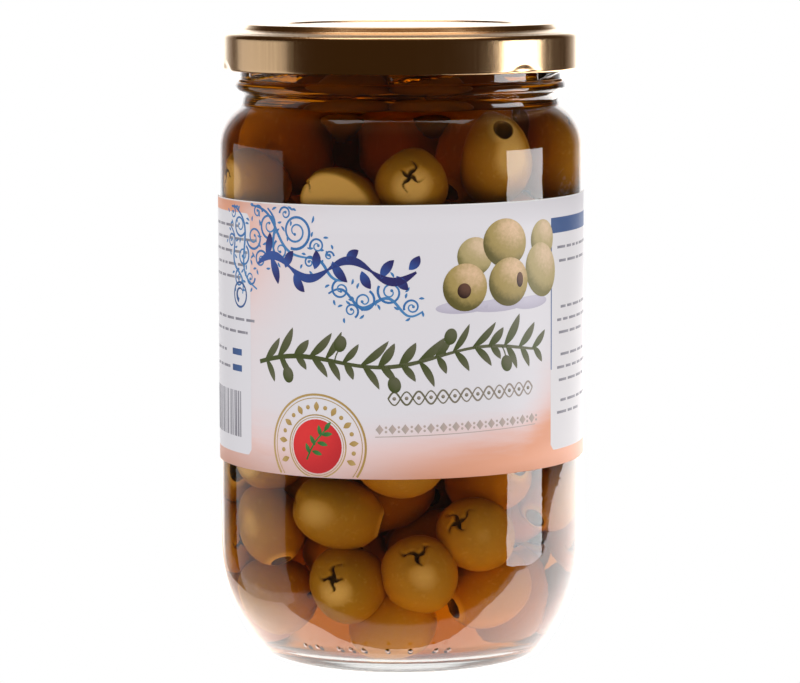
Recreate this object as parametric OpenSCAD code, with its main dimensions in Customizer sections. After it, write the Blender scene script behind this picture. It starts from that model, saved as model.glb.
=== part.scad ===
// Preserving jar of pitted green olives: a glass jar with a twist-off metal cap,
// a wrap-round paper label and brine up to just below the rim.
// Millimetres, +Z up, origin at the middle of the ring that the jar stands on,
// front of the label towards -Y.

/* [Glass body] */
// Height of the glass, from the standing ring to the rim
jar_h = 148.6; // [125:0.1:190]
// Outer radius of the straight body
body_r = 43.5; // [41:0.1:56]
// Thickness of the body wall
wall = 2.5; // [1.6:0.1:4]
// Height at which the heel starts to curve in
heel_h = 27; // [20:0.5:34]
// Radius of the long curve of the heel
heel_r = 43; // [36:0.5:60]
// Radius of the small curve between the heel and the standing ring
foot_r = 4; // [2:0.1:6]
// Width of the flat ring that the jar stands on
ring_w = 2.4; // [1.5:0.1:5]

/* [Glass base] */
// Height of the hollow under the base, at its middle
punt_h = 3; // [1:0.1:4]
// Height of the inner floor at its outer edge
floor_h = 3.8; // [3:0.1:9]
// Rise of the inner floor towards its middle
floor_rise = 1.2; // [0.2:0.1:2]
// Radius of the inner corner between floor and wall
floor_corner_r = 8; // [5:0.5:11]

/* [Shoulder and neck] */
// Outer radius of the neck below the bead
neck_r = 38; // [34:0.1:39.5]
// Height of the neck, from the top of the shoulder to the rim
neck_h = 16.8; // [15:0.1:22]
// Thickness of the glass at the neck
neck_wall = 2.8; // [2:0.1:4]
// Radius of the shoulder's outward curve
shoulder_r = 12; // [8:0.5:20]
// Radius of the small hollow curve where the shoulder meets the neck
throat_r = 1; // [0.5:0.1:4]
// Steepest angle that the shoulder turns through
shoulder_turn = 54; // [40:1:75]
// Extra radius of the finish, the threaded part above the bead
finish_step = 0.5; // [0.2:0.1:1]
// Distance from the rim down to the middle of the bead
bead_drop = 12.8; // [12:0.1:14]
// Radius of the bead's rounded section
bead_r = 1.6; // [1:0.1:1.8]
// Radius of the rounded edges of the rim
rim_round = 0.9; // [0.4:0.1:1.2]

/* [Thread] */
// Number of thread ridges, and of lugs on the cap
starts = 6; // [4:1:8]
// How far a thread ridge stands out of the finish
thread_proud = 2.1; // [1.4:0.1:2.6]
// Radius of a thread ridge's rounded section
thread_r = 1; // [0.7:0.1:1.2]
// Slope of the ridges
thread_slope = 7; // [5:0.5:9]
// Angle that each ridge spans
thread_span = 56; // [30:1:58]
// Distance from the rim down to the middle of a ridge
thread_drop = 7.4; // [6.6:0.1:7.6]
// Angle of the first ridge's middle, from the front
thread_at = 26; // [0:1:59]

/* [Cap] */
// Thickness of the metal
cap_t = 0.3; // [0.2:0.05:0.5]
// Gap between the thread ridges and the inside of the skirt
cap_clear = 1.3; // [0.8:0.1:2]
// Gap between the rim and the cap over it, taken up by the seal
seal_gap = 0.2; // [0.1:0.05:0.4]
// Height of the skirt below the rim
skirt_drop = 9.1; // [8.5:0.1:10]
// Radius of the curled edge of the skirt
curl_r = 0.55; // [0.4:0.05:0.8]
// Radius of the rounded corner above the skirt
corner_r = 1.1; // [0.6:0.1:2]
// Slope of the ledge inside the corner
ledge_slope = 14; // [5:1:20]
// Height of the step between ledge and raised panel
panel_rise = 1.2; // [0.5:0.1:2]
// Width of that step
panel_ramp = 0.6; // [0.3:0.1:2]
// Radius of the shallow recess in the panel
recess_r = 27; // [15:0.5:32]
// Depth of the recess
recess_d = 0.35; // [0.1:0.05:0.6]
// Height of a lug, the dented stretch of the skirt's edge
lug_h = 2; // [1.5:0.1:2.4]
// How far a lug is pressed in
lug_in = 2; // [1:0.1:2.3]
// Angle that each lug spans
lug_span = 17; // [8:1:22]
// Angle of the first lug's middle, from the front
lug_at = -17.5; // [-30:0.5:30]

/* [Label] */
// Thickness of the paper
label_t = 0.12; // [0.08:0.01:0.3]
// Distance from the top of the heel up to the label
label_low = 20.4; // [2:0.1:30]
// Distance from the label up to the start of the shoulder
label_high = 10.9; // [2:0.1:30]

/* [Contents] */
// Distance from the rim down to the brine
headspace = 8; // [4:0.1:9]

/* [Hidden] */
$fn = 96;
// Points along a long curve and along a small one
LONG = 14;
SHORT = 6;
// Overrun of a cutting shape past what it cuts
OVER = 2;
FRONT = -90;
// Angle by which a lug runs on behind the skirt at both ends
LUG_LAP = 0.6;

// The heel's two curves touch from inside, so their centres lie heel_r - foot_r apart.
heel_c = [body_r - heel_r, heel_h];
foot_c = [heel_c.x + sqrt(pow(heel_r - foot_r, 2) - pow(heel_h - foot_r, 2)), foot_r];
heel_turn = atan2(heel_h - foot_r, foot_c.x - heel_c.x);
ring_in = foot_c.x - ring_w;
// The punt is a shallow dome that springs a little inside the ring and above it.
punt_spring = foot_r / 4;
punt_r = ring_in - foot_r / 2;

// The inside of the heel runs a wall's thickness inside it, down to the floor's corner.
inner_heel_r = heel_r - wall;
corner_z = floor_h + floor_corner_r;
corner_c = [heel_c.x + sqrt(pow(inner_heel_r - floor_corner_r, 2) - pow(heel_h - corner_z, 2)), corner_z];
inner_heel_turn = atan2(heel_h - corner_z, corner_c.x - heel_c.x);

// Shoulder: outward curve, straight slope, hollow curve up to the neck.
inset = body_r - neck_r;
turn = min(shoulder_turn, acos(max(-1, 1 - inset / (shoulder_r + throat_r))));
slope_run = max(0, inset - (shoulder_r + throat_r) * (1 - cos(turn)));
neck_z = jar_h - neck_h;
shoulder_z = neck_z - (shoulder_r + throat_r) * sin(turn) - slope_run / tan(turn);
finish_r = neck_r + finish_step;
bead_z = jar_h - bead_drop;
mouth_r = finish_r - neck_wall;
inner_shoulder_r = shoulder_r - wall;
inner_throat_r = throat_r + neck_wall;
inner_neck_r = neck_r - neck_wall;
inner_inset = body_r - wall - inner_neck_r;
inner_turn = min(shoulder_turn, acos(max(-1, 1 - inner_inset / (inner_shoulder_r + inner_throat_r))));
inner_run = max(0, inner_inset - (inner_shoulder_r + inner_throat_r) * (1 - cos(inner_turn)));
inner_neck_z = shoulder_z + (inner_shoulder_r + inner_throat_r) * sin(inner_turn) + inner_run / tan(inner_turn);

// Cap, from the inside out and from the rim up.
thread_out = finish_r + thread_proud;
skirt_in = thread_out + cap_clear;
skirt_out = skirt_in + cap_t;
ledge_in = finish_r - rim_round;
ledge_z = jar_h + seal_gap + cap_t;
corner_in = skirt_out - corner_r;
corner_top = ledge_z - (corner_in - ledge_in) * tan(ledge_slope);
panel_in = ledge_in - panel_ramp;
panel_z = ledge_z + panel_rise;
skirt_z = jar_h - skirt_drop;

// Label and brine.
label_z = heel_h + label_low;
label_h = shoulder_z - label_high - label_z;
fill_z = jar_h - headspace;

// Points of an arc about c from angle a to angle b.
function arc(c, r, a, b, n) = [for (i = [0:n]) c + r * [cos(a + (b - a) * i / n), sin(a + (b - a) * i / n)]];

// Shoulder and throat from a wall of radius r_wall, going up.
function shoulder(r_wall, r_out, r_hollow, r_neck, bend, top) = concat(
    arc([r_wall - r_out, shoulder_z], r_out, 0, bend, LONG),
    arc([r_neck + r_hollow, top], r_hollow, 180 + bend, 180, SHORT));

// Radius of the sphere whose cap rises by lift over a circle of radius r, and the angle of that cap.
function cap_sphere(r, lift) = (r * r + lift * lift) / (2 * lift);
function cap_turn(r, lift) = asin(r / cap_sphere(r, lift));
// Outline of a cap of radius r that rises by lift to the height top, from the axis outwards.
function dome(r, lift, top) =
    arc([0, top - cap_sphere(r, lift)], cap_sphere(r, lift), 90, 90 - cap_turn(r, lift), SHORT);

// Outline of the solid glass, from the axis under the base to the axis over the rim.
function outer_profile() = concat(
    dome(punt_r, punt_h - punt_spring, punt_h),
    [[ring_in, 0]],
    arc(foot_c, foot_r, -90, -heel_turn, SHORT),
    arc(heel_c, heel_r, -heel_turn, 0, LONG),
    shoulder(body_r, shoulder_r, throat_r, neck_r, turn, neck_z),
    arc([neck_r, bead_z], bead_r, -90, acos(finish_step / bead_r), 2 * SHORT),
    arc([finish_r - rim_round, jar_h - rim_round], rim_round, 0, 90, SHORT),
    [[0, jar_h]]);

// Outline of the hollow, from the middle of the floor to just over the mouth.
function inner_profile() = concat(
    dome(corner_c.x, floor_rise, floor_h + floor_rise),
    arc(corner_c, floor_corner_r, -90, -inner_heel_turn, LONG),
    arc(heel_c, inner_heel_r, -inner_heel_turn, 0, LONG),
    shoulder(body_r - wall, inner_shoulder_r, inner_throat_r, inner_neck_r, inner_turn, inner_neck_z),
    [[mouth_r, bead_z + bead_r]],
    arc([mouth_r + rim_round, jar_h - rim_round], rim_round, 180, 90, SHORT),
    [[mouth_r + rim_round, jar_h + OVER], [0, jar_h + OVER]]);

// Outline of the cap's sheet: the curled edge, the outside up to the middle, and back along the inside.
function cap_profile() = concat(
    arc([skirt_out - curl_r, skirt_z + curl_r], curl_r, acos(1 - cap_t / curl_r), 360, 3 * SHORT),
    arc([corner_in, corner_top - corner_r], corner_r, 0, 90 + ledge_slope, SHORT),
    [[ledge_in, ledge_z], [panel_in, panel_z], [recess_r + recess_d, panel_z], [recess_r, panel_z - recess_d],
     [0, panel_z - recess_d], [0, panel_z - recess_d - cap_t], [recess_r, panel_z - recess_d - cap_t],
     [recess_r + recess_d, panel_z - cap_t], [panel_in - cap_t / 2, panel_z - cap_t],
     [ledge_in - cap_t / 2, ledge_z - cap_t]],
    arc([corner_in, corner_top - corner_r], corner_r - cap_t, 90 + ledge_slope, 0, SHORT));

// The hollow of the jar, which the brine fills.
module hollow() rotate_extrude() polygon(inner_profile());

// Tilted ridges round the finish, low end first going round to the right.
module threads() {
    for (i = [0:starts - 1])
        rotate([0, 0, FRONT + thread_at + i * 360 / starts])
            translate([0, 0, jar_h - thread_drop])
                rotate([thread_slope, 0, 0])
                    rotate([0, 0, -thread_span / 2])
                        rotate_extrude(angle = thread_span)
                            translate([thread_out - thread_r, 0]) thread_section();
}

// A ridge's section: a half-round nose on a root that reaches into the glass.
module thread_section() {
    root = thread_proud + neck_wall / 2 - thread_r;
    polygon(concat(arc([0, 0], thread_r, -90, 90, 2 * SHORT), [[-root, thread_r], [-root, -thread_r]]));
}

module glass_jar() color([0.86, 0.9, 0.88, 0.4]) {
    difference() {
        union() {
            rotate_extrude() polygon(outer_profile());
            threads();
        }
        hollow();
    }
}

// Sweeps its child's outline through each lug's angle, and through extra degrees more at both ends.
module at_lugs(extra = 0) {
    for (i = [0:starts - 1])
        rotate([0, 0, FRONT + lug_at - lug_span / 2 - extra + i * 360 / starts])
            rotate_extrude(angle = lug_span + 2 * extra) children();
}

// The skirt's edge is cut away at each lug, and the lug slopes in from inside the sheet above the cut.
module lid() color([0.8, 0.62, 0.36]) {
    lug_top = skirt_z + lug_h;
    lap = cap_t / 3;
    difference() {
        rotate_extrude() polygon(cap_profile());
        at_lugs() translate([skirt_out - 2 * curl_r - OVER, lug_top - lug_h - OVER])
            square([2 * curl_r + 2 * OVER, lug_h + OVER]);
    }
    at_lugs(LUG_LAP)
        polygon([[skirt_in + lap, lug_top + lap], [skirt_in - lug_in, skirt_z + curl_r],
                 [skirt_in - lug_in, skirt_z], [skirt_out - lug_in, skirt_z], [skirt_out - lap, lug_top + lap]]);
}

module label() color([0.9, 0.86, 0.86]) {
    translate([0, 0, label_z]) difference() {
        cylinder(h = label_h, r = body_r + label_t);
        translate([0, 0, -OVER]) cylinder(h = label_h + 2 * OVER, r = body_r);
    }
}

module contents() color([0.55, 0.38, 0.1]) {
    intersection() {
        hollow();
        cylinder(h = fill_z, r = body_r + OVER);
    }
}

glass_jar();
lid();
label();
contents();
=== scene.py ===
"""Looks of a preserving jar of pitted green olives: glass, cap, label, brine and olives.

Every length is in millimetres, in the frame of the construction model, until put_mesh writes it in metres.
The jar stands upright on the origin, and the front of its label faces -Y.
"""

import logging
import math
from collections.abc import Callable
from dataclasses import dataclass
from enum import Enum

import bpy
import numpy as np
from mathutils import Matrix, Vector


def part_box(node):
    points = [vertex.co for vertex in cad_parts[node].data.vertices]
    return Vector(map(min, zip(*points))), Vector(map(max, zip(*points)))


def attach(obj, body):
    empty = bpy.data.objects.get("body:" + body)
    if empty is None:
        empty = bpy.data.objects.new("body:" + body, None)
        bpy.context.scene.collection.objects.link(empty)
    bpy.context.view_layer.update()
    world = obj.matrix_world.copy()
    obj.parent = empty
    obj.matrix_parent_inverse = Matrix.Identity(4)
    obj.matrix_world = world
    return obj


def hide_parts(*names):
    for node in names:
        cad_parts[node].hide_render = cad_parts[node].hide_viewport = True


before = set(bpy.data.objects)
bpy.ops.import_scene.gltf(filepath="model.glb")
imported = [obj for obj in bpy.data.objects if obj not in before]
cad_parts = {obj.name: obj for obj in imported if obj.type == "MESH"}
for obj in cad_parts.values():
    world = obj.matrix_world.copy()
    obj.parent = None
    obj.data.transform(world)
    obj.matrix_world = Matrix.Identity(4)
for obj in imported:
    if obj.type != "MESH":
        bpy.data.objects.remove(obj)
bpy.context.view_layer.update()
LOG = logging.getLogger("jar")
MM = 0.001
TAU = 2.0 * math.pi
Pair = tuple[float, float]
Triple = tuple[float, float, float]


# ---------------------------------------------------------------- surfaces


def arc(centre: Pair, radius: float, start: float, end: float, steps: int) -> np.ndarray:
    """Points of a circle's arc: centre plus radius times (cos, sin) of an angle that runs from start to end.

    Args:
        centre: Middle of the circle.
        radius: Its radius.
        start: First angle in degrees.
        end: Last angle in degrees.
        steps: Number of equal steps.

    Returns:
        An array of steps + 1 rows of two coordinates.
    """
    angle = np.radians(np.linspace(start, end, steps + 1))
    return np.stack([centre[0] + radius * np.cos(angle), centre[1] + radius * np.sin(angle)], axis=1)


def line(start: Pair, end: Pair, steps: int) -> np.ndarray:
    """Points of a straight line, from start up to but without end.

    Args:
        start: First point.
        end: The point that the line runs to.
        steps: Number of equal steps.

    Returns:
        An array of steps rows of two coordinates.
    """
    share = np.arange(steps)[:, None] / steps
    return np.asarray(start) + share * (np.asarray(end) - np.asarray(start))


def grid_faces(rows: int, columns: int, close_rows: bool, close_columns: bool) -> np.ndarray:
    """Quads between neighbours in a grid of vertices, numbered row by row.

    Args:
        rows: Number of rows.
        columns: Number of columns.
        close_rows: Whether the last row joins the first.
        close_columns: Whether the last column joins the first.

    Returns:
        An array of quads, four vertex numbers each.
    """
    r = np.arange(rows if close_rows else rows - 1)
    c = np.arange(columns if close_columns else columns - 1)
    low, left = np.meshgrid(r, c, indexing="ij")
    high, right = (low + 1) % rows, (left + 1) % columns
    corners = [low * columns + left, low * columns + right, high * columns + right, high * columns + left]
    return np.stack(corners, axis=-1).reshape(-1, 4)


def put_mesh(name: str, points: np.ndarray, faces: list[np.ndarray], smooth: bool = True) -> bpy.types.Object:
    """Puts vertices and faces into a new mesh object at the origin.

    Args:
        name: Name of the object and its mesh.
        points: Vertices in millimetres, three coordinates a row.
        faces: Arrays of triangles or quads, one face a row.
        smooth: Whether faces are shaded smooth.

    Returns:
        The new object, linked to the scene.
    """
    mesh = bpy.data.meshes.new(name)
    mesh.vertices.add(len(points))
    mesh.vertices.foreach_set("co", (np.asarray(points, float) * MM).ravel())
    sides = np.concatenate([np.full(len(part), part.shape[1]) for part in faces])
    corners = np.concatenate([part.ravel() for part in faces])
    mesh.loops.add(len(corners))
    mesh.loops.foreach_set("vertex_index", corners.astype(np.int32))
    mesh.polygons.add(len(sides))
    mesh.polygons.foreach_set("loop_start", np.concatenate([[0], np.cumsum(sides)[:-1]]).astype(np.int32))
    mesh.update(calc_edges=True)
    mesh.polygons.foreach_set("use_smooth", np.full(len(sides), smooth))
    piece = bpy.data.objects.new(name, mesh)
    bpy.context.scene.collection.objects.link(piece)
    return piece


def put_values(piece: bpy.types.Object, name: str, values: np.ndarray) -> None:
    """Stores one number for each vertex under a name that a finish can read.

    Args:
        piece: The mesh object.
        name: Name of the attribute.
        values: One number for each vertex.
    """
    attribute = piece.data.attributes.new(name, "FLOAT", "POINT")
    attribute.data.foreach_set("value", np.asarray(values, np.float32))


def revolve(
    section: np.ndarray, steps: int, shift: Callable | None = None
) -> tuple[np.ndarray, list[np.ndarray]]:
    """Turns a section about the Z axis: (r, z) at angle t goes to (r sin t, -r cos t, z).

    The angle starts at the front and grows to the right, so a section that runs up its outer side faces out.

    Args:
        section: Rows of (radius, height). Where it starts and ends on the axis, both poles are closed.
            Otherwise its last point joins its first.
        steps: Number of steps round the axis.
        shift: Optional function of (angle in degrees, radius, height) that returns a new radius.

    Returns:
        The vertices, and a list of face arrays.
    """
    poles = section[0, 0] < 1e-6 and section[-1, 0] < 1e-6
    ring = section[1:-1] if poles else section
    turn = np.arange(steps) * TAU / steps
    angle, radius = np.meshgrid(turn, ring[:, 0])
    height = np.repeat(ring[:, 1:], steps, axis=1)
    if shift is not None:
        degrees = (np.degrees(angle) + 180.0) % 360.0 - 180.0
        radius = shift(degrees, radius, height)
    points = np.stack([radius * np.sin(angle), -radius * np.cos(angle), height], axis=-1).reshape(-1, 3)
    faces = [grid_faces(len(ring), steps, not poles, True)]
    if poles:
        here = np.arange(steps)
        after = (here + 1) % steps
        top = (len(ring) - 1) * steps
        low = np.stack([np.full(steps, len(points)), after, here], axis=1)
        high = np.stack([top + here, top + after, np.full(steps, len(points) + 1)], axis=1)
        points = np.concatenate([points, [[0, 0, section[0, 1]], [0, 0, section[-1, 1]]]])
        faces += [low, high]
    return points, faces


# ---------------------------------------------------------------- finishes


class Field:
    """A socket that can be used in arithmetic: each operation adds one Math node."""

    def __init__(self, tree: "Graph", socket: bpy.types.NodeSocket) -> None:
        """Wraps a socket.

        Args:
            tree: The node tree that the socket is in.
            socket: An output socket that gives one number.
        """
        self.tree = tree
        self.socket = socket

    def math(self, operation: str, *others: "Field | float") -> "Field":
        """Adds a Math node of this operation on this value and the others."""
        node = self.tree.node("ShaderNodeMath", {"operation": operation}, [self, *others])
        return Field(self.tree, node.outputs[0])

    def __add__(self, other: "Field | float") -> "Field":
        """Sum."""
        return self.math("ADD", other)

    def __radd__(self, other: "Field | float") -> "Field":
        """Sum with the number on the left."""
        return self.math("ADD", other)

    def __sub__(self, other: "Field | float") -> "Field":
        """Difference."""
        return self.math("SUBTRACT", other)

    def __rsub__(self, other: "Field | float") -> "Field":
        """Difference from the number on the left."""
        return (self * -1.0) + other

    def __mul__(self, other: "Field | float") -> "Field":
        """Product."""
        return self.math("MULTIPLY", other)

    def __rmul__(self, other: "Field | float") -> "Field":
        """Product with the number on the left."""
        return self.math("MULTIPLY", other)

    def __truediv__(self, other: "Field | float") -> "Field":
        """Quotient."""
        return self.math("DIVIDE", other)

    def step(self, low: float, high: float) -> "Field":
        """Smooth step of this value, whose share t of the way from low to high gives 3 t^2 - 2 t^3.

        Args:
            low: Where the result is still 0.
            high: Where it reaches 1.

        Returns:
            The eased value.
        """
        node = self.tree.node(
            "ShaderNodeMapRange",
            {"interpolation_type": "SMOOTHSTEP"},
            {"Value": self, "From Min": low, "From Max": high},
        )
        return Field(self.tree, node.outputs["Result"])


class Graph:
    """A node tree, built by one method for nodes and a few for common steps."""

    def __init__(self, tree: bpy.types.NodeTree) -> None:
        """Takes the node tree to build in."""
        self.nodes = tree.nodes
        self.links = tree.links

    def node(
        self, kind: str, settings: dict | None = None, inputs: dict | list | None = None
    ) -> bpy.types.Node:
        """Adds a node.

        Args:
            kind: The node's type name.
            settings: Properties, set first. A ramp's stops are a list of (place, colour) under "stops".
            inputs: Values or links of its sockets, by name or in order.

        Returns:
            The new node.
        """
        made = self.nodes.new(kind)
        for key, value in (settings or {}).items():
            if key == "stops":
                ramp = made.color_ramp
                while len(ramp.elements) < len(value):
                    ramp.elements.new(0.5)
                for element, (place, colour) in zip(ramp.elements, value):
                    element.position = place
                    element.color = (*colour, 1.0)
            else:
                setattr(made, key, value)
        pairs = inputs.items() if isinstance(inputs, dict) else enumerate(inputs or [])
        for key, value in pairs:
            self.feed(made.inputs[key], value)
        return made

    def feed(self, socket: bpy.types.NodeSocket, value: object) -> None:
        """Links a field, node or socket to the socket, or sets a plain value on it.

        Args:
            socket: The input socket.
            value: What it takes. Three numbers make an opaque colour.
        """
        if isinstance(value, Field):
            self.links.new(value.socket, socket)
        elif isinstance(value, bpy.types.Node):
            self.links.new(value.outputs[0], socket)
        elif isinstance(value, bpy.types.NodeSocket):
            self.links.new(value, socket)
        elif socket.type == "RGBA" and len(value) == 3:
            socket.default_value = (*value, 1.0)
        else:
            socket.default_value = value

    def place(self, kind: str = "Object") -> bpy.types.NodeSocket:
        """Object coordinates, or another kind that the Texture Coordinate node gives."""
        return self.node("ShaderNodeTexCoord").outputs[kind]

    def axes(self, kind: str = "Object") -> tuple[Field, Field, Field]:
        """Those coordinates as three fields."""
        split = self.node("ShaderNodeSeparateXYZ", None, [self.place(kind)])
        return tuple(Field(self, out) for out in split.outputs)

    def path(self, name: str) -> Field:
        """What the Light Path node says of the ray, for the surround and the floor only."""
        return Field(self, self.node("ShaderNodeLightPath").outputs[name])

    def attribute(self, name: str) -> Field:
        """A number stored on the piece's vertices."""
        return Field(self, self.node("ShaderNodeAttribute", {"attribute_name": name}).outputs["Fac"])

    def noise(
        self, scale: float, detail: float = 3.0, roughness: float = 0.5, stretch: Triple = (1.0, 1.0, 1.0)
    ) -> Field:
        """Noise from 0 to 1 over the object.

        Args:
            scale: Lumps a metre.
            detail: How many finer layers there are.
            roughness: How strong each finer layer is.
            stretch: A factor on each axis, where less than 1 draws the lumps out.

        Returns:
            The noise.
        """
        mapped = self.node("ShaderNodeMapping", None, {"Vector": self.place(), "Scale": stretch})
        made = self.node(
            "ShaderNodeTexNoise", None,
            {"Vector": mapped, "Scale": scale, "Detail": detail, "Roughness": roughness},
        )
        return Field(self, made.outputs["Fac"])

    def mix(self, amount: "Field | float", first: object, second: object) -> bpy.types.NodeSocket:
        """A colour that goes from first to second as amount goes from 0 to 1.

        Args:
            amount: Share of the second colour.
            first: A colour or a socket that gives one.
            second: The same.

        Returns:
            The mixed colour's socket.
        """
        made = self.node("ShaderNodeMix", {"data_type": "RGBA"})
        for socket, value in zip((made.inputs[0], made.inputs[6], made.inputs[7]), (amount, first, second)):
            self.feed(socket, value)
        return made.outputs[2]

    def bump(self, height: Field, distance: float, strength: float = 1.0) -> bpy.types.Node:
        """A Bump node over that height, whose full step is distance in metres."""
        sockets = {"Height": height, "Distance": distance, "Strength": strength}
        return self.node("ShaderNodeBump", None, sockets)


class Finish(Graph):
    """A material with a Principled shader."""

    def __init__(self, name: str) -> None:
        """Starts a material.

        Args:
            name: Its name.
        """
        self.material = bpy.data.materials.new(name)
        self.material.use_nodes = True
        super().__init__(self.material.node_tree)
        self.shader = self.nodes["Principled BSDF"]
        self.output = self.nodes["Material Output"]

    def principled(self, **inputs: object) -> None:
        """Sets sockets of the main shader, named with underscores for spaces."""
        for key, value in inputs.items():
            self.feed(self.shader.inputs[key.replace("_", " ")], value)


def dress(piece: bpy.types.Object, finish: Finish, replaced: tuple[str, ...] = ()) -> None:
    """Gives a piece its finish and its place in the frame.

    Args:
        piece: The finished mesh object.
        finish: Its material.
        replaced: Construction nodes that the piece stands for.
    """
    piece.data.materials.append(finish.material)
    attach(piece, "root")
    if replaced:
        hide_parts(*replaced)
    piece.data.calc_loop_triangles()
    LOG.info("%s: %d triangles", piece.name, len(piece.data.loop_triangles))


# ---------------------------------------------------------------- glass


@dataclass
class Glass:
    """The glass jar: base, heel, body, shoulder, neck with its bead and threads, and rim."""

    height: float = round(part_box("glass_jar")[1].z / MM, 1)
    body_r: float = round(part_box("glass_jar")[1].x / MM, 1)
    wall: float = 2.5
    heel_h: float = 27.0
    heel_r: float = 43.0
    foot_r: float = 4.0
    ring_w: float = 2.4
    punt_h: float = 3.0
    floor_h: float = 3.8
    floor_rise: float = 1.2
    corner_r: float = 8.0
    neck_r: float = 38.0
    neck_h: float = 16.8
    neck_wall: float = 2.8
    shoulder_r: float = 12.0
    throat_r: float = 1.0
    shoulder_turn: float = 54.0
    finish_step: float = 0.5
    bead_drop: float = 12.8
    bead_r: float = 1.6
    rim_round: float = 0.9
    starts: int = 6
    thread_proud: float = 2.1
    thread_r: float = 1.0
    thread_slope: float = 7.0
    thread_span: float = 56.0
    thread_drop: float = 7.4
    thread_at: float = 26.0
    steps_round: int = 360

    def heel_centre(self) -> Pair:
        """Centre of the heel's long curve."""
        return self.body_r - self.heel_r, self.heel_h

    def foot_centre(self) -> Pair:
        """Centre of the small curve that runs from the heel to the standing ring."""
        reach = math.sqrt((self.heel_r - self.foot_r) ** 2 - (self.heel_h - self.foot_r) ** 2)
        return self.heel_centre()[0] + reach, self.foot_r

    def corner_centre(self) -> Pair:
        """Centre of the inner corner between floor and wall, where that corner touches both.

        Returns:
            Radius and height.
        """
        drop = self.heel_h - self.floor_h - self.corner_r
        reach = math.sqrt((self.heel_r - self.wall - self.corner_r) ** 2 - drop**2)
        return self.heel_centre()[0] + reach, self.floor_h + self.corner_r

    def shoulder_z(self) -> float:
        """Height at which the body ends and the shoulder starts.

        Returns:
            The neck's foot less the rise of both curves and of the straight run between them.
        """
        turn = math.radians(self.shoulder_turn)
        both = self.shoulder_r + self.throat_r
        run = max(0.0, self.body_r - self.neck_r - both * (1 - math.cos(turn)))
        return self.height - self.neck_h - both * math.sin(turn) - run / math.tan(turn)

    @staticmethod
    def dome(radius: float, lift: float, top: float, steps: int) -> np.ndarray:
        """A shallow round cap's outline, from the axis outwards.

        The sphere's radius is (radius squared + lift squared) / (2 lift).
        """
        sphere = (radius**2 + lift**2) / (2 * lift)
        return arc((0, top - sphere), sphere, 90, 90 - math.degrees(math.asin(radius / sphere)), steps)

    def outer(self) -> np.ndarray:
        """The outside, from the axis under the base up to the top of the rim.

        Returns:
            Rows of (radius, height).
        """
        heel, foot = self.heel_centre(), self.foot_centre()
        turn = math.degrees(math.atan2(heel[1] - foot[1], foot[0] - heel[0]))
        ring_in = foot[0] - self.ring_w
        spring = self.foot_r / 4
        shoulder, neck = self.shoulder_z(), self.height - self.neck_h
        bead, finish = self.height - self.bead_drop, self.neck_r + self.finish_step
        edge = math.degrees(math.acos(self.finish_step / self.bead_r))
        above = bead + self.bead_r * math.sin(math.radians(edge))
        bend = self.shoulder_turn
        return np.concatenate([
            self.dome(ring_in - self.foot_r / 2, self.punt_h - spring, self.punt_h, 12),
            line((ring_in - 0.6, 0.12), (ring_in, 0.0), 2),
            line((ring_in, 0.0), (foot[0], 0.0), 3),
            arc(foot, self.foot_r, -90, -turn, 10),
            arc(heel, self.heel_r, -turn, 0, 30)[1:],
            line((self.body_r, self.heel_h + 3), (self.body_r, shoulder), 12),
            arc((self.body_r - self.shoulder_r, shoulder), self.shoulder_r, 0, bend, 24),
            arc((self.neck_r + self.throat_r, neck), self.throat_r, 180 + bend, 180, 8),
            arc((self.neck_r, bead), self.bead_r, -90, edge, 16),
            line((finish, above + 0.2), (finish, self.height - self.rim_round), 34),
            arc((finish - self.rim_round, self.height - self.rim_round), self.rim_round, 0, 90, 6),
        ])

    def inner(self, gap: float = 0.0) -> np.ndarray:
        """The inside, from the middle of the floor up to the rim.

        Args:
            gap: Distance from the real surface, positive into the glass.

        Returns:
            Rows of (radius, height), which start on the axis.
        """
        heel, corner = self.heel_centre(), self.corner_centre()
        turn = math.degrees(math.atan2(heel[1] - corner[1], corner[0] - heel[0]))
        shoulder, throat = self.shoulder_r - self.wall, self.throat_r + self.neck_wall
        wall_r, neck_in = self.body_r - self.wall, self.neck_r - self.neck_wall
        bend = self.shoulder_turn
        inset = wall_r - neck_in - (shoulder + throat) * (1 - math.cos(math.radians(bend)))
        if inset < 0:
            bend = math.degrees(math.acos(1 - (wall_r - neck_in) / (shoulder + throat)))
            inset = 0.0
        top = self.shoulder_z() + (shoulder + throat) * math.sin(math.radians(bend))
        top += inset / math.tan(math.radians(bend))
        finish, bead = self.neck_r + self.finish_step - self.neck_wall, self.height - self.bead_drop
        path = np.concatenate([
            self.dome(corner[0], self.floor_rise, self.floor_h + self.floor_rise, 12),
            arc(corner, self.corner_r, -90, -turn, 14)[1:],
            arc(heel, self.heel_r - self.wall, -turn, 0, 16)[1:],
            line((wall_r, self.heel_h + 3), (wall_r, self.shoulder_z()), 12),
            arc((wall_r - shoulder, self.shoulder_z()), shoulder, 0, bend, 16),
            arc((neck_in + throat, top), throat, 180 + bend, 180, 10)[1:],
            line((finish, bead + self.bead_r), (finish, self.height - self.rim_round), 8),
            arc((finish + self.rim_round, self.height - self.rim_round), self.rim_round, 180, 90, 6),
        ])
        along = np.gradient(path, axis=0)
        along /= np.linalg.norm(along, axis=1)[:, None]
        outward = np.stack([along[:, 1], -along[:, 0]], axis=1)
        outward[0] = (0.0, -1.0)
        return path + gap * outward

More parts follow.
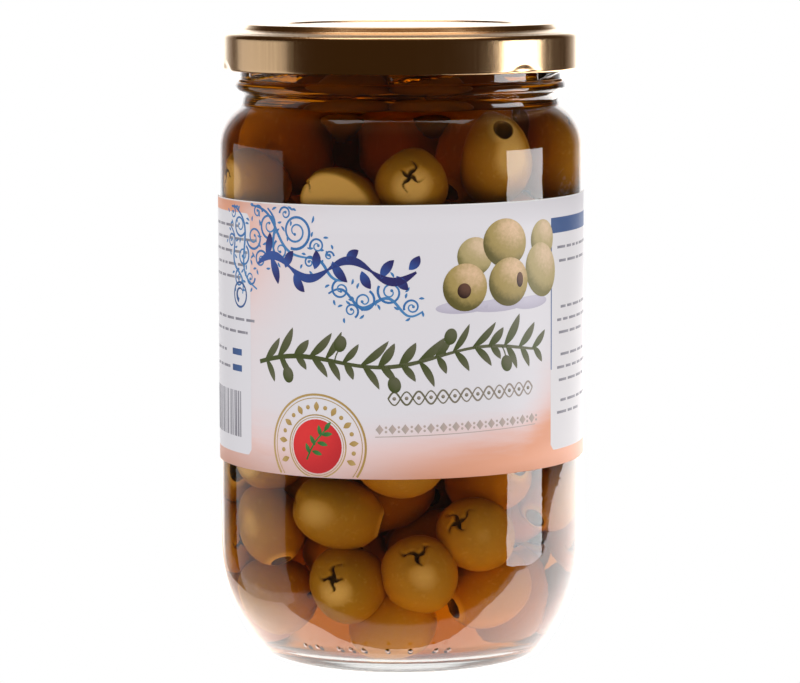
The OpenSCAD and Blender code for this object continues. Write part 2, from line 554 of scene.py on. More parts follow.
    def ridges(self, angle: np.ndarray, radius: np.ndarray, height: np.ndarray) -> np.ndarray:
        """Adds the threads to the outside of the finish.

        A ridge's middle rises with the angle by radius x tan(slope). Its section is a half ellipse, and it
        fades out over its last few degrees.

        Args:
            angle: Degrees from the front.
            radius: Radius before the threads.
            height: Height of each vertex.

        Returns:
            The new radius.
        """
        pitch = 360.0 / self.starts
        finish = self.neck_r + self.finish_step
        from_middle = (angle - self.thread_at + pitch / 2) % pitch - pitch / 2
        climb = np.radians(from_middle) * finish * math.tan(math.radians(self.thread_slope))
        across = (height - (self.height - self.thread_drop) - climb) / (1.15 * self.thread_r)
        bulge = np.sqrt(np.clip(1 - across**2, 0, None))
        fade = np.clip((self.thread_span / 2 + 2 - np.abs(from_middle)) / 5, 0, 1)
        outside = np.abs(radius - finish) < 0.05
        return radius + np.where(outside, self.thread_proud * bulge * fade**0.5, 0.0)

    def build(self) -> bpy.types.Object:
        """The whole glass as one closed shell: the outside up to the rim, then the inside back down.

        Returns:
            The glass.
        """
        section = np.concatenate([self.outer(), self.inner()[::-1]])
        points, faces = revolve(section, self.steps_round, self.ridges)
        return put_mesh("glass", points, faces)


@dataclass(frozen=True)
class ClearGlass:
    """Clear, faintly tinted glass with a row of small raised dots round the heel, which carry painted shade.
    """

    clear: Triple = (0.97, 0.985, 0.98)
    dot_painted_shade: Triple = (0.42, 0.25, 0.12)
    ior: float = 1.5
    dots: tuple[float, ...] = (-36.0, -31.0, -22.5, -18.0, -13.5, -5.0, 3.0, 12.0, 16.5)
    dot_z: float = 6.4
    dot_r: float = 0.62
    dot_lift: float = 0.4
    ripple: float = 0.025

    def finish(self) -> Finish:
        """The material: each dot's height and its painted shade, a brown that stands in for the dark contents
        seen through it, fall off smoothly with the distance from its middle.

        Returns:
            The finish.
        """
        tree = Finish("clear_glass")
        tree.principled(Roughness=0.0, IOR=self.ior, Transmission_Weight=1.0)
        x, y, z = tree.axes()
        total = None
        for place in self.dots:
            turn = math.radians(place)
            across = x * math.cos(turn) + y * math.sin(turn)
            front = (y * -1.0).math("GREATER_THAN", 0.0)
            up = z - self.dot_z * MM
            far = (across * across + up * up).math("SQRT")
            dot = (1.0 - far.step(0.0, self.dot_r * MM)) * front
            total = dot if total is None else total + dot
        # Painted shade: the dots are tinted brown to stand in for the dark contents seen through them.
        tree.principled(Base_Color=tree.mix(total.step(0.1, 0.6), self.clear, self.dot_painted_shade))
        height = total * self.dot_lift + tree.noise(320.0, 2.0, 0.5) * self.ripple
        tree.principled(Normal=tree.bump(height, MM))
        return tree


# ---------------------------------------------------------------- brine


@dataclass
class Brine:
    """The liquid, from the floor of the jar up to its level, reaching a little into the wall."""

    glass: Glass
    level: float = round(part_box("contents")[1].z / MM, 1)
    into_wall: float = 0.15
    steps_round: int = 240

    def build(self) -> bpy.types.Object:
        """A closed solid of revolution inside the glass.

        Returns:
            The brine.
        """
        path = self.glass.inner(self.into_wall)
        path = path[path[:, 1] < self.level - 0.3]
        top = np.array([[share * path[-1, 0], self.level] for share in (1.0, 0.66, 0.33, 0.0)])
        points, faces = revolve(np.concatenate([path, top]), self.steps_round)
        return put_mesh("brine", points, faces)


@dataclass(frozen=True)
class AmberBrine:
    """Clear amber liquid that takes up blue and green light on the way through."""

    ior: float = 1.34
    tint: Triple = (0.93, 0.76, 0.0)
    density: float = 120.0

    def finish(self) -> Finish:
        """The material: a clear surface over an absorbing volume.

        Returns:
            The finish.
        """
        tree = Finish("amber_brine")
        tree.principled(Base_Color=(1.0, 1.0, 1.0), Roughness=0.0, IOR=self.ior, Transmission_Weight=1.0)
        volume = tree.node("ShaderNodeVolumeAbsorption", None, {"Color": self.tint, "Density": self.density})
        tree.links.new(volume.outputs[0], tree.output.inputs["Volume"])
        return tree


# ---------------------------------------------------------------- olives


class Cut(Enum):
    """Mark that the pitting tool leaves on the closed end."""

    CROSS = 4
    STAR = 3


@dataclass
class Placed:
    """An olive set at a listed place against the front wall.

    azimuth is in degrees from the front, positive to the right. height is that of its middle. lean is the
    angle of its closed end above the horizontal, and heading that end's direction in plan, from the front.
    inset is the distance from the wall to its middle.
    """

    azimuth: float
    height: float
    heading: float
    lean: float
    inset: float = 7.6
    cut: Cut = Cut.CROSS
    roll: float = 0.0


@dataclass
class Olives:
    """Pitted olives packed through the brine, pressed against the wall and each other.

    Each place in gaps is (azimuth in degrees, height, distance from the axis).
    """

    glass: Glass
    level: float
    count: int = 118
    half_length: float = 10.1
    half_width: float = 8.2
    core_half: float = 2.2
    groove_deep: float = 1.7
    dimple_deep: float = 0.7
    edge_high: float = 0.3
    press: float = 0.7
    neck_gap: float = 16.0
    neck_from: float = 116.0
    neck_run: float = 8.0
    seed: int = 7
    rounds: int = 700
    steps_round: int = 48
    placed: tuple[Placed, ...] = (
        Placed(-67, 113, -100, 20, inset=7.2),
        Placed(-21, 110.0, -100, 30, inset=4.2),
        Placed(4, 114, -2, 18, inset=8.3, roll=20),
        Placed(38, 118.5, 205, -50, inset=7.8),
        Placed(78, 118, 90, 60, inset=8.0),
        Placed(-59, 50, -60, 0, inset=8.0),
        Placed(-58, 33.5, -150, 60, inset=7.8),
        Placed(-25, 38, -95, 15, inset=7.8),
        Placed(-21.5, 21.5, -26, 12, inset=9.2, roll=10),
        Placed(7, 24, -3, 35, inset=9.0, cut=Cut.STAR, roll=50),
        Placed(30, 32.5, -25, 25, inset=9.0, roll=45),
        Placed(0, 50, 70, 5, inset=8.0),
        Placed(-62, 17, 60, 10, inset=10.0),
        Placed(76, 39, 150, 30, inset=8.5),
        Placed(-4, 12.0, 70, 32, inset=12.0),
        Placed(43, 19, 120, 20, inset=13.5),
    )

    gaps: tuple[Triple, ...] = (
        (6, 37.5, 31), (-18, 11.5, 27), (15, 12.5, 28), (26, 17, 31), (-44, 21, 31), (22, 113, 33),
        (62, 117, 33), (-45, 112, 33), (-10, 124, 31), (-32, 121, 33), (12, 126, 30), (-28, 117, 20),
        (0, 120, 19), (60, 24, 31), (-48, 10, 15), (-118, 9, 12.5), (-153, 8, 24.6), (33, 10, 12),
        (133, 9, 9), (163, 8, 22),
    )

    def wall_radius(self, height: np.ndarray, gap: float) -> np.ndarray:
        """Inner radius of the glass at a height, less a gap.

        Args:
            height: Heights, above the floor's corner.
            gap: Distance from the wall.

        Returns:
            A radius for each height.
        """
        path = self.glass.inner()
        rising = path[path[:, 0] >= self.glass.corner_centre()[0] - 0.01]
        return np.interp(height, rising[:, 1], rising[:, 0]) - gap

    def floor_height(self, radius: np.ndarray) -> np.ndarray:
        """Height of the glass floor at a radius.

        Args:
            radius: Distances from the axis.

        Returns:
            A height for each radius.
        """
        path = self.glass.inner()
        low = path[path[:, 1] < self.glass.floor_h + self.glass.corner_r]
        return np.interp(radius, low[:, 0], low[:, 1])

    @staticmethod
    def about_axis(angle: np.ndarray, plan: np.ndarray, height: np.ndarray) -> np.ndarray:
        """Points (plan sin angle, -plan cos angle, height), where the angle is in radians from the front."""
        return np.stack([plan * np.sin(angle), -plan * np.cos(angle), height], axis=1)

    def hand_ends(self) -> np.ndarray:
        """The ends of each listed olive: its middle less and plus half its core along its axis.

        Returns:
            An array of olives, two ends each, hole end first, three coordinates.
        """
        ends = []
        for olive in self.placed:
            azimuth, heading, lean = map(math.radians, (olive.azimuth, olive.heading, olive.lean))
            wall = self.wall_radius(np.array(olive.height), olive.inset)
            middle = np.array([wall * math.sin(azimuth), -wall * math.cos(azimuth), olive.height])
            flat = math.cos(lean)
            axis = np.array([flat * math.sin(heading), -flat * math.cos(heading), math.sin(lean)])
            ends.append([middle - self.core_half * axis, middle + self.core_half * axis])
        return np.array(ends)

    def pack(self) -> np.ndarray:
        """Packs the olives as pairs of linked spheres.

        Each round pushes overlapping spheres a little less than half their overlap apart, brings each pair
        back to its distance and keeps all spheres inside the glass, and further in towards the neck. The
        spheres grow from 60% to full size on the way. The listed olives stay where they are, and so do
        the gaps, which are spheres that hold a place empty.

        Returns:
            An array of count olives, two ends each, three coordinates.
        """
        rng = np.random.default_rng(self.seed)
        turn, height, plan = np.array(self.gaps, float).T
        empty = self.about_axis(np.radians(turn), plan, height)
        set_by_hand = self.hand_ends()
        fixed = np.concatenate([set_by_hand, np.stack([empty, empty], axis=1)])
        loose = self.count - len(set_by_hand)
        radius = self.half_length - self.core_half
        turn, plan = rng.uniform(0, TAU, loose), 33 * np.sqrt(rng.uniform(0, 1, loose))
        middle = self.about_axis(turn, plan, np.linspace(15, self.level - 8, loose))
        axis = rng.normal(size=(loose, 3))
        axis /= np.linalg.norm(axis, axis=1)[:, None]
        free = np.stack([middle - self.core_half * axis, middle + self.core_half * axis], axis=1)
        ends = np.concatenate([fixed, free])
        held = np.zeros((len(ends), 2), bool)
        held[: len(fixed)] = True
        held = held.ravel()
        partner = np.arange(2 * len(ends)) ^ 1
        for done in range(self.rounds):
            size = radius * min(1.0, 0.6 + 0.55 * done / self.rounds)
            flat = ends.reshape(-1, 3)
            apart = flat[:, None] - flat[None]
            distance = np.sqrt((apart**2).sum(-1)) + 1e-9
            overlap = np.clip(2 * size - distance, 0, None)
            overlap[np.arange(len(flat)), partner] = 0
            np.fill_diagonal(overlap, 0)
            push = (apart / distance[..., None] * (0.42 * overlap)[..., None]).sum(1)
            push[held] = 0
            flat = flat + push
            pair = flat.reshape(-1, 2, 3)
            centre = pair.mean(1, keepdims=True)
            along = pair - centre
            pair = centre + along / (np.linalg.norm(along, axis=2, keepdims=True) + 1e-9) * self.core_half
            flat = pair.reshape(-1, 3)
            plan = np.hypot(flat[:, 0], flat[:, 1]) + 1e-9
            crowd = np.clip((flat[:, 2] - self.neck_from) / self.neck_run, 0, 1) * self.neck_gap
            limit = self.wall_radius(flat[:, 2], size - self.press) - crowd
            inward = np.minimum(1.0, limit / plan)
            kept = flat.copy()
            kept[:, :2] *= inward[:, None]
            kept[:, 2] = np.clip(kept[:, 2], self.floor_height(plan * inward) + size + 1.0, self.level - size)
            kept[held] = ends.reshape(-1, 3)[held]
            ends = kept.reshape(-1, 2, 3)
        return np.concatenate([ends[: len(set_by_hand)], ends[len(fixed):]])

    def profile(self) -> np.ndarray:
        """One olive's outline about its axis: from the hole's floor out to its lip and on to the closed end.

        The body at angle t from the hole's end is (width sin(t)^0.94, -length cos t).

        Returns:
            Rows of (radius, height).
        """
        lip, deep = 2.15, 5.5
        a, b = self.half_length, self.half_width
        start = math.degrees(math.asin(lip / b)) + 3
        body = np.radians(np.concatenate([np.linspace(start, 150, 24), np.linspace(153, 178, 12)]))
        outline = np.stack([b * np.sin(body) ** 0.94, -a * np.cos(body)], axis=1)
        first = outline[0]
        hole = np.array([
            [0, -a + deep], [lip * 0.7, -a + deep], [lip * 0.86, -a + deep * 0.6], [lip * 0.9, -a + 1.4],
            [lip, -a + 0.75], [(lip + first[0]) / 2, (first[1] - a + 0.75) / 2 - 0.12],
        ])
        return np.concatenate([hole, outline, [[0, a]]])

    def build(self) -> list[bpy.types.Object]:
        """All the olives, as three joined pieces of about equal size, from the floor up.

        Returns:
            The three pieces.
        """
        ends = self.pack()
        order = np.argsort(ends.mean(1)[:, 2])
        pieces = []
        kinds = [Cut.CROSS if n % 3 else Cut.STAR for n in range(self.count)]
        rolls = np.random.default_rng(self.seed + 1).uniform(0, 360, self.count)
        for n, olive in enumerate(self.placed):
            kinds[n], rolls[n] = olive.cut, olive.roll
        for name, share in zip(("olives_low", "olives_middle", "olives_high"), np.array_split(order, 3)):
            pieces.append(self.join(name, ends[share], [kinds[n] for n in share], rolls[share], share))
        return pieces

    def join(
        self, name: str, ends: np.ndarray, cuts: list[Cut], rolls: np.ndarray, numbers: np.ndarray
    ) -> bpy.types.Object:
        """Shapes a share of the olives and joins them into one mesh.

        Args:
            name: Name of the piece.
            ends: Their pairs of ends.
            cuts: The mark on each closed end.
            rolls: Turn of each mark about the olive's axis, in degrees.
            numbers: The number of each olive, which seeds its unevenness.

        Returns:
            The joined object, with the attributes cut, hole, ripe, end and aged.
        """
        base, faces = revolve(self.profile(), self.steps_round)
        count = len(base)
        all_points, values = [], {"cut": [], "hole": [], "ripe": [], "end": [], "aged": []}
        for pair, cut, roll, number in zip(ends, cuts, rolls, numbers):
            points, marks = self.shape(base, pair, cut, roll, np.random.default_rng(1000 + int(number)))
            all_points.append(points)
            for key, value in marks.items():
                values[key].append(value)
        joined = [np.concatenate([part + n * count for n in range(len(ends))]) for part in faces]
        piece = put_mesh(name, np.concatenate(all_points), joined)
        for key, value in values.items():
            put_values(piece, key, np.concatenate(value))
        return piece

    def shape(
        self, base: np.ndarray, pair: np.ndarray, cut: Cut, roll: float, rng: np.random.Generator
    ) -> tuple[np.ndarray, dict[str, np.ndarray]]:
        """One olive's vertices.

        The plain olive is scaled a little, bent by low waves round and along it, grooved at its closed end
        along the arms of its cut, turned onto its axis, and pressed flat where it would pass the glass.
        A groove's depth is a Gaussian of the distance to the nearest arm, which fades towards the arm's end.

        Args:
            base: Vertices of the plain olive about Z.
            pair: Its two ends.
            cut: The mark on its closed end.
            roll: Turn about its axis in degrees.
            rng: Random source for its own unevenness.

        Returns:
            The vertices, and the vertex values: cut is the groove, hole the hole's wall, ripe a number for
            the whole olive, end the hole's lip or a place pressed flat, and aged its nearness to the neck,
            for painted shade.
        """
        points = base.copy()
        round_angle = np.arctan2(points[:, 0], -points[:, 1])
        along = points[:, 2] / self.half_length
        plan = np.hypot(points[:, 0], points[:, 1])
        phase = rng.uniform(0, TAU, 4)
        size = rng.uniform(0.96, 1.04)
        waves = 0.018 * np.sin(2 * round_angle + phase[0])
        waves = waves + 0.014 * np.sin(3 * round_angle + 2.5 * along + phase[1])
        waves += 0.012 * np.sin(4.0 * along + phase[2]) + 0.008 * np.sin(5 * round_angle + phase[3])
        points[:, :2] *= (size * (1 + waves))[:, None]
        points[:, 2] *= rng.uniform(0.95, 1.05)
        top = along > 0.3
        arms = cut.value
        spin = round_angle + math.radians(roll) + 0.3 * np.sin(1.5 * plan + phase[2])
        away = (spin + math.pi / arms) % (TAU / arms) - math.pi / arms
        reach = rng.uniform(2.9, 3.7)
        side = plan * np.abs(np.sin(away)) + 3.0 * np.clip(-np.cos(away), 0, None)
        arm = np.floor((spin + math.pi / arms) / (TAU / arms))
        reach = reach * (1 + 0.3 * np.sin(2.4 * arm + phase[0]))
        wide = 0.32 + 0.3 * np.exp(-((plan / 1.2) ** 2)) + 0.09 * np.sin(4 * plan + phase[1])
        groove = np.exp(-((side / wide) ** 2)) * np.clip(1.25 - plan / reach, 0, 1) ** 0.6 * top
        dimple = np.exp(-((plan / 3.4) ** 2)) * top
        points[:, 2] -= self.groove_deep * groove + self.dimple_deep * dimple
        lifted = np.exp(-(((side - 0.8) / 0.5) ** 2)) * np.clip(1 - plan / reach, 0, 1) * top
        points[:, 2] += self.edge_high * lifted
        inside = np.arange(len(points)) < 5 * self.steps_round
        inside[-2] = True
        hole = np.where(inside, 1.0, 0.0)
        lip = np.exp(-(((plan - 2.9) / 0.8) ** 2)) * (along < -0.5) * ~inside
        axis = pair[1] - pair[0]
        axis /= np.linalg.norm(axis)
        side_axis = np.cross(axis, [0.0, 0.0, 1.0])
        if np.linalg.norm(side_axis) < 1e-3:
            side_axis = np.array([1.0, 0.0, 0.0])
        side_axis /= np.linalg.norm(side_axis)
        third = np.cross(axis, side_axis)
        placed = pair.mean(0) + points[:, :1] * side_axis + points[:, 1:2] * third + points[:, 2:] * axis
        pressed = self.against_glass(placed.copy())
        touch = np.clip(np.linalg.norm(pressed - placed, axis=1) / 1.2, 0, 1)
        ripe = np.full(len(points), rng.uniform(0, 1))
        # Painted shade: this value grows from 0 below the shoulder to 1 near the neck, and the skin turns it
        # into the shade that the cap casts.
        aged = np.full(len(points), np.clip((pair.mean(0)[2] - self.glass.shoulder_z() + 3.5) / 7, 0, 1))
        end = np.maximum(lip, touch)
        return pressed, {"cut": groove, "hole": hole, "ripe": ripe, "end": end, "aged": aged}

    def against_glass(self, points: np.ndarray) -> np.ndarray:
        """Moves what lies past the inner wall, the floor or the liquid's level back to just inside it.

        Args:
            points: Vertices, which are changed in place.

        Returns:
            The same vertices.
        """
        plan = np.hypot(points[:, 0], points[:, 1]) + 1e-9
        limit = self.wall_radius(points[:, 2], 0.08)
        points[:, :2] *= np.minimum(1.0, limit / plan)[:, None]
        plan = np.minimum(plan, limit)
        points[:, 2] = np.clip(points[:, 2], self.floor_height(plan) + 0.08, self.level - 0.3)
        return points


@dataclass(frozen=True)
class OliveSkin:
    """Brined green olive: yellow green skin, pale round the hole, with painted shade in the cuts, in the hole
    and near the neck.
    """

    green: Triple = (0.42, 0.17, 0.010)
    yellow: Triple = (0.60, 0.23, 0.022)
    recess_shade: Triple = (0.05, 0.02, 0.005)
    flesh: Triple = (0.95, 0.52, 0.13)
    neck_shade_colour: Triple = (0.13, 0.06, 0.01)

    def finish(self) -> Finish:
        """The material: mottled skin, flesh at lip and touch, painted shade near the neck, and painted shade
        in the cut and the hole.

        Returns:
            The finish.
        """
        tree = Finish("olive_skin")
        mottle = tree.noise(90.0, 4.0, 0.6)
        freckle = tree.noise(900.0, 3.0, 0.6)
        ripeness = tree.attribute("ripe") * 0.7 + mottle * 0.6 - 0.15
        skin = tree.mix(ripeness.step(0.0, 1.0), self.green, self.yellow)
        skin = tree.mix(freckle.step(0.55, 0.75) * 0.18, skin, self.flesh)
        skin = tree.mix(tree.attribute("end") * 0.85, skin, self.flesh)
        # Painted shade: olives near the neck are darkened towards brown, for the shade under the cap.
        skin = tree.mix(tree.attribute("aged") * 0.85, skin, self.neck_shade_colour)
        # Painted shade: the grooves of the cut are darkened, for the shade inside them.
        skin = tree.mix(tree.attribute("cut").step(0.12, 0.6) * 0.92, skin, self.recess_shade)
        # Painted shade: the wall of the hole is darkened, for the shade inside it.
        skin = tree.mix(tree.attribute("hole") * 0.75, skin, self.recess_shade)
        tree.principled(Base_Color=skin, Roughness=0.42, IOR=1.06)
        tree.principled(Normal=tree.bump(tree.noise(1500.0, 2.0, 0.5), 0.05 * MM, 0.5))
        return tree


# ---------------------------------------------------------------- cap


@dataclass
class Cap:
    """The twist-off cap: curled edge, skirt with lugs, rounded corner, ledge and recessed raised panel."""

    glass: Glass
    bottom: float = round(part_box("lid")[0].z / MM, 1)
    sheet: float = 0.3
    clear: float = 1.3
    seal_gap: float = 0.2
    curl_r: float = 0.55
    corner_r: float = 1.1
    ledge_slope: float = 14.0
    panel_rise: float = 1.2
    panel_ramp: float = 0.6
    recess_r: float = 27.0
    recess_d: float = 0.35
    lug_h: float = 2.0
    lug_in: float = 0.56
    lug_span: float = 17.0
    lug_at: float = -17.5
    steps_round: int = 480

    def section(self) -> np.ndarray:
        """The sheet's closed outline: outside from the curl up to the middle, then back along the inside.

        Returns:
            Rows of (radius, height).
        """
        glass = self.glass
        out = glass.neck_r + glass.finish_step + glass.thread_proud + self.clear + self.sheet
        ledge_in = glass.neck_r + glass.finish_step - glass.rim_round
        ledge_z = glass.height + self.seal_gap + self.sheet
        corner_in = out - self.corner_r
        corner_top = ledge_z - (corner_in - ledge_in) * math.tan(math.radians(self.ledge_slope))
        panel_in, panel_z = ledge_in - self.panel_ramp, ledge_z + self.panel_rise
        t, d = self.sheet, self.recess_d
        curl = arc((out - self.curl_r, self.bottom + self.curl_r), self.curl_r, 57, 360, 16)
        corner = arc((corner_in, corner_top - self.corner_r), self.corner_r, 0, 90 + self.ledge_slope, 10)
        top = np.concatenate([
            line((out, self.bottom + self.curl_r + 0.2), (out, corner_top - self.corner_r - 0.05), 18),
            corner,
            line((corner_in - 0.6, corner_top + 0.15), (ledge_in + 0.5, ledge_z - 0.12), 4),
            arc((ledge_in + 0.45, ledge_z + 0.35), 0.45, -100, -165, 4),
            arc((panel_in - 0.5, panel_z - 0.5), 0.5, 15, 90, 6),
            line((panel_in - 1.2, panel_z), (self.recess_r + 0.8, panel_z), 4),
            arc((self.recess_r + 0.5, panel_z - 0.2), 0.2, 90, 160, 4),
            arc((self.recess_r - 0.1, panel_z - d + 0.25), 0.25, -20, -90, 4),
            line((self.recess_r - 0.8, panel_z - d), (0.0, panel_z - d), 5),
            [[0.0, panel_z - d]],
        ])
        inside = np.array([
            [0.0, panel_z - d - t], [self.recess_r - 0.4, panel_z - d - t],
            [self.recess_r + 0.3, panel_z - t], [panel_in - 0.6, panel_z - t],
            [panel_in - 0.3, panel_z - t - 0.2], [ledge_in - 0.1, ledge_z - t],
            [corner_in - 0.3, corner_top - t - 0.05], [corner_in + 0.45, corner_top - self.corner_r + 0.62],
            [out - t, corner_top - self.corner_r],
        ])
        skirt = line((out - t, corner_top - self.corner_r - 0.3), (out - t, self.bottom + 1.6), 14)
        return np.concatenate([curl[:-1], top, inside, skirt])

    def lugs(self, angle: np.ndarray, radius: np.ndarray, height: np.ndarray) -> np.ndarray:
        """Presses the skirt's edge in at the lugs.

        The shift eases in, as 3 s^2 - 2 s^3, below a top line that rises towards the lug's middle. It is
        multiplied by the square of a cosine over the angle.

        Args:
            angle: Degrees from the front.
            radius: Radius of the plain skirt.
            height: Height of each vertex.

        Returns:
            The new radius.
        """
        pitch = 360.0 / self.glass.starts
        away = np.abs((angle - self.lug_at + pitch / 2) % pitch - pitch / 2)
        window = np.cos(np.clip(away / (self.lug_span / 2 + 3.0), 0, 1) * math.pi / 2) ** 2
        share = np.clip((self.bottom + 0.6 + self.lug_h * window - height) / self.lug_h, 0, 1)
        return radius - self.lug_in * share * share * (3 - 2 * share) * window

    def build(self) -> bpy.types.Object:
        """The whole cap as one closed sheet, whose section is turned so that it starts on the axis.

        Returns:
            The cap.
        """
        section = self.section()
        start = int(np.argmin(section[:, 0]))
        rolled = np.roll(section, -start - 1, axis=0)
        points, faces = revolve(rolled, self.steps_round, self.lugs)
        return put_mesh("cap", points, faces)


@dataclass(frozen=True)
class GoldLacquer:
    """Gold lacquered tinplate with fine rolling streaks."""

    colour: Triple = (0.70, 0.475, 0.27)
    pale: Triple = (0.72, 0.54, 0.33)
    roughness: float = 0.22

    def finish(self) -> Finish:
        """The material: streaks run up the skirt and change the roughness and a slight bump.

        Returns:
            The finish.
        """
        tree = Finish("gold_lacquer")
        streak = tree.noise(1400.0, 2.0, 0.6, stretch=(1.0, 1.0, 0.03))
        cloud = tree.noise(60.0, 3.0, 0.5)
        tree.principled(
            Base_Color=tree.mix(cloud * 0.25, self.colour, self.pale),
            Metallic=1.0,
            Roughness=streak * 0.14 + (self.roughness - 0.07),
            Normal=tree.bump(streak, 0.012 * MM, 0.6),
        )
        return tree


# ---------------------------------------------------------------- label


@dataclass
class Label:
    """The paper label round the body, a little askew, with its ends lapped at the back.

    A place on it is (u, v): u is the length round the label from the front, positive to the right, and v is
    the height.
    """

    glass: Glass
    low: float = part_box("label")[0].z / MM
    high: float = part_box("label")[1].z / MM
    paper: float = 0.12
    tilt: float = 0.39
    lap: float = 7.0
    columns: int = 420
    rows: int = 10

    def onto(self, u: np.ndarray, v: np.ndarray, lift: np.ndarray) -> np.ndarray:
        """Wraps places on the label round the jar: angle u / radius, height v + u tan(tilt).

        Args:
            u: Length round from the front.
            v: Height on the label.
            lift: Distance outward from the body of the glass.

        Returns:
            Points, three coordinates a row.
        """
        radius = self.glass.body_r + lift
        angle = u / (self.glass.body_r + self.paper)
        height = v + u * math.tan(math.radians(self.tilt))
        return np.stack([radius * np.sin(angle), -radius * np.cos(angle), height], axis=-1)

    def build(self) -> bpy.types.Object:
        """One closed strip: for each step round, the paper's section, with both ends capped.

        Returns:
            The label.
        """
        half = math.pi * (self.glass.body_r + self.paper)
        u = np.linspace(-half, half + self.lap, self.columns)
        over = np.clip((u - half + 2.0) / 2.0, 0, 1) * self.paper * 1.1
        v = np.linspace(self.low, self.high, self.rows)
        section_v = np.concatenate([v, v[::-1]])
        section_lift = np.concatenate([np.full(self.rows, self.paper), np.full(self.rows, 0.01)])
        points = self.onto(u[:, None], section_v[None] + 0 * u[:, None], section_lift[None] + over[:, None])
        ring = 2 * self.rows
        body = grid_faces(self.columns, ring, False, True)[:, ::-1]
        steps = np.arange(self.rows - 1)
        cap = np.stack([steps, steps + 1, ring - 2 - steps, ring - 1 - steps], axis=1)
        last = (self.columns - 1) * ring
        return put_mesh("paper_label", points.reshape(-1, 3), [body, cap, last + cap[:, ::-1]])


@dataclass(frozen=True)
class LabelPaper:
    """Coated paper: pale lavender with soft fields of peach and salmon and faint brushed streaks."""

    pale: Triple = (0.75, 0.72, 0.755)
    rose: Triple = (0.80, 0.61, 0.60)
    peach: Triple = (0.80, 0.35, 0.21)
    edge: Triple = (0.88, 0.86, 0.84)
    radius: float = 43.6
    rise: float = 0.0068
    top: float = 109.9

    def finish(self) -> Finish:
        """The material: how much peach there is at a place follows from the length round and the height.

        Returns:
            The finish.
        """
        tree = Finish("label_paper")
        x, y, z = tree.axes()
        u = x.math("ARCTAN2", y * -1.0) * self.radius
        v = z * 1000.0 - u * self.rise
        streak = tree.noise(260.0, 4.0, 0.6, stretch=(0.35, 0.35, 2.2)) - 0.5
        left = 1.0 - (u + streak * 14.0).step(-66.0, -8.0)
        left = left * ((v + streak * 10.0).step(72.0, 106.0) * 0.75 + 0.3)
        low = 1.0 - (v + streak * 7.0).step(46.0, 67.0)
        low = low * ((u + streak * 12.0).step(-25.0, 28.0) * 0.6 + 0.45)
        side = u.step(28.0, 42.0) * (1.0 - v.step(56.0, 86.0)) * 0.45
        far = u.math("ABSOLUTE").step(70.0, 110.0) * 0.35
        warm = (left + low + side + far + streak * 0.10).math("MINIMUM", 1.0).math("MAXIMUM", 0.0)
        colour = tree.mix(warm.step(0.02, 0.5), self.pale, self.rose)
        colour = tree.mix(warm.step(0.3, 0.95), colour, self.peach)
        colour = tree.mix(v.step(self.top, self.top + 0.15) * 0.8, colour, self.edge)
        tree.principled(Base_Color=colour, Roughness=tree.noise(700.0) * 0.12 + 0.42, IOR=1.4)
        tree.principled(Normal=tree.bump(tree.noise(1800.0, 3.0, 0.6), 0.015 * MM, 0.4))
        return tree


# ---------------------------------------------------------------- print


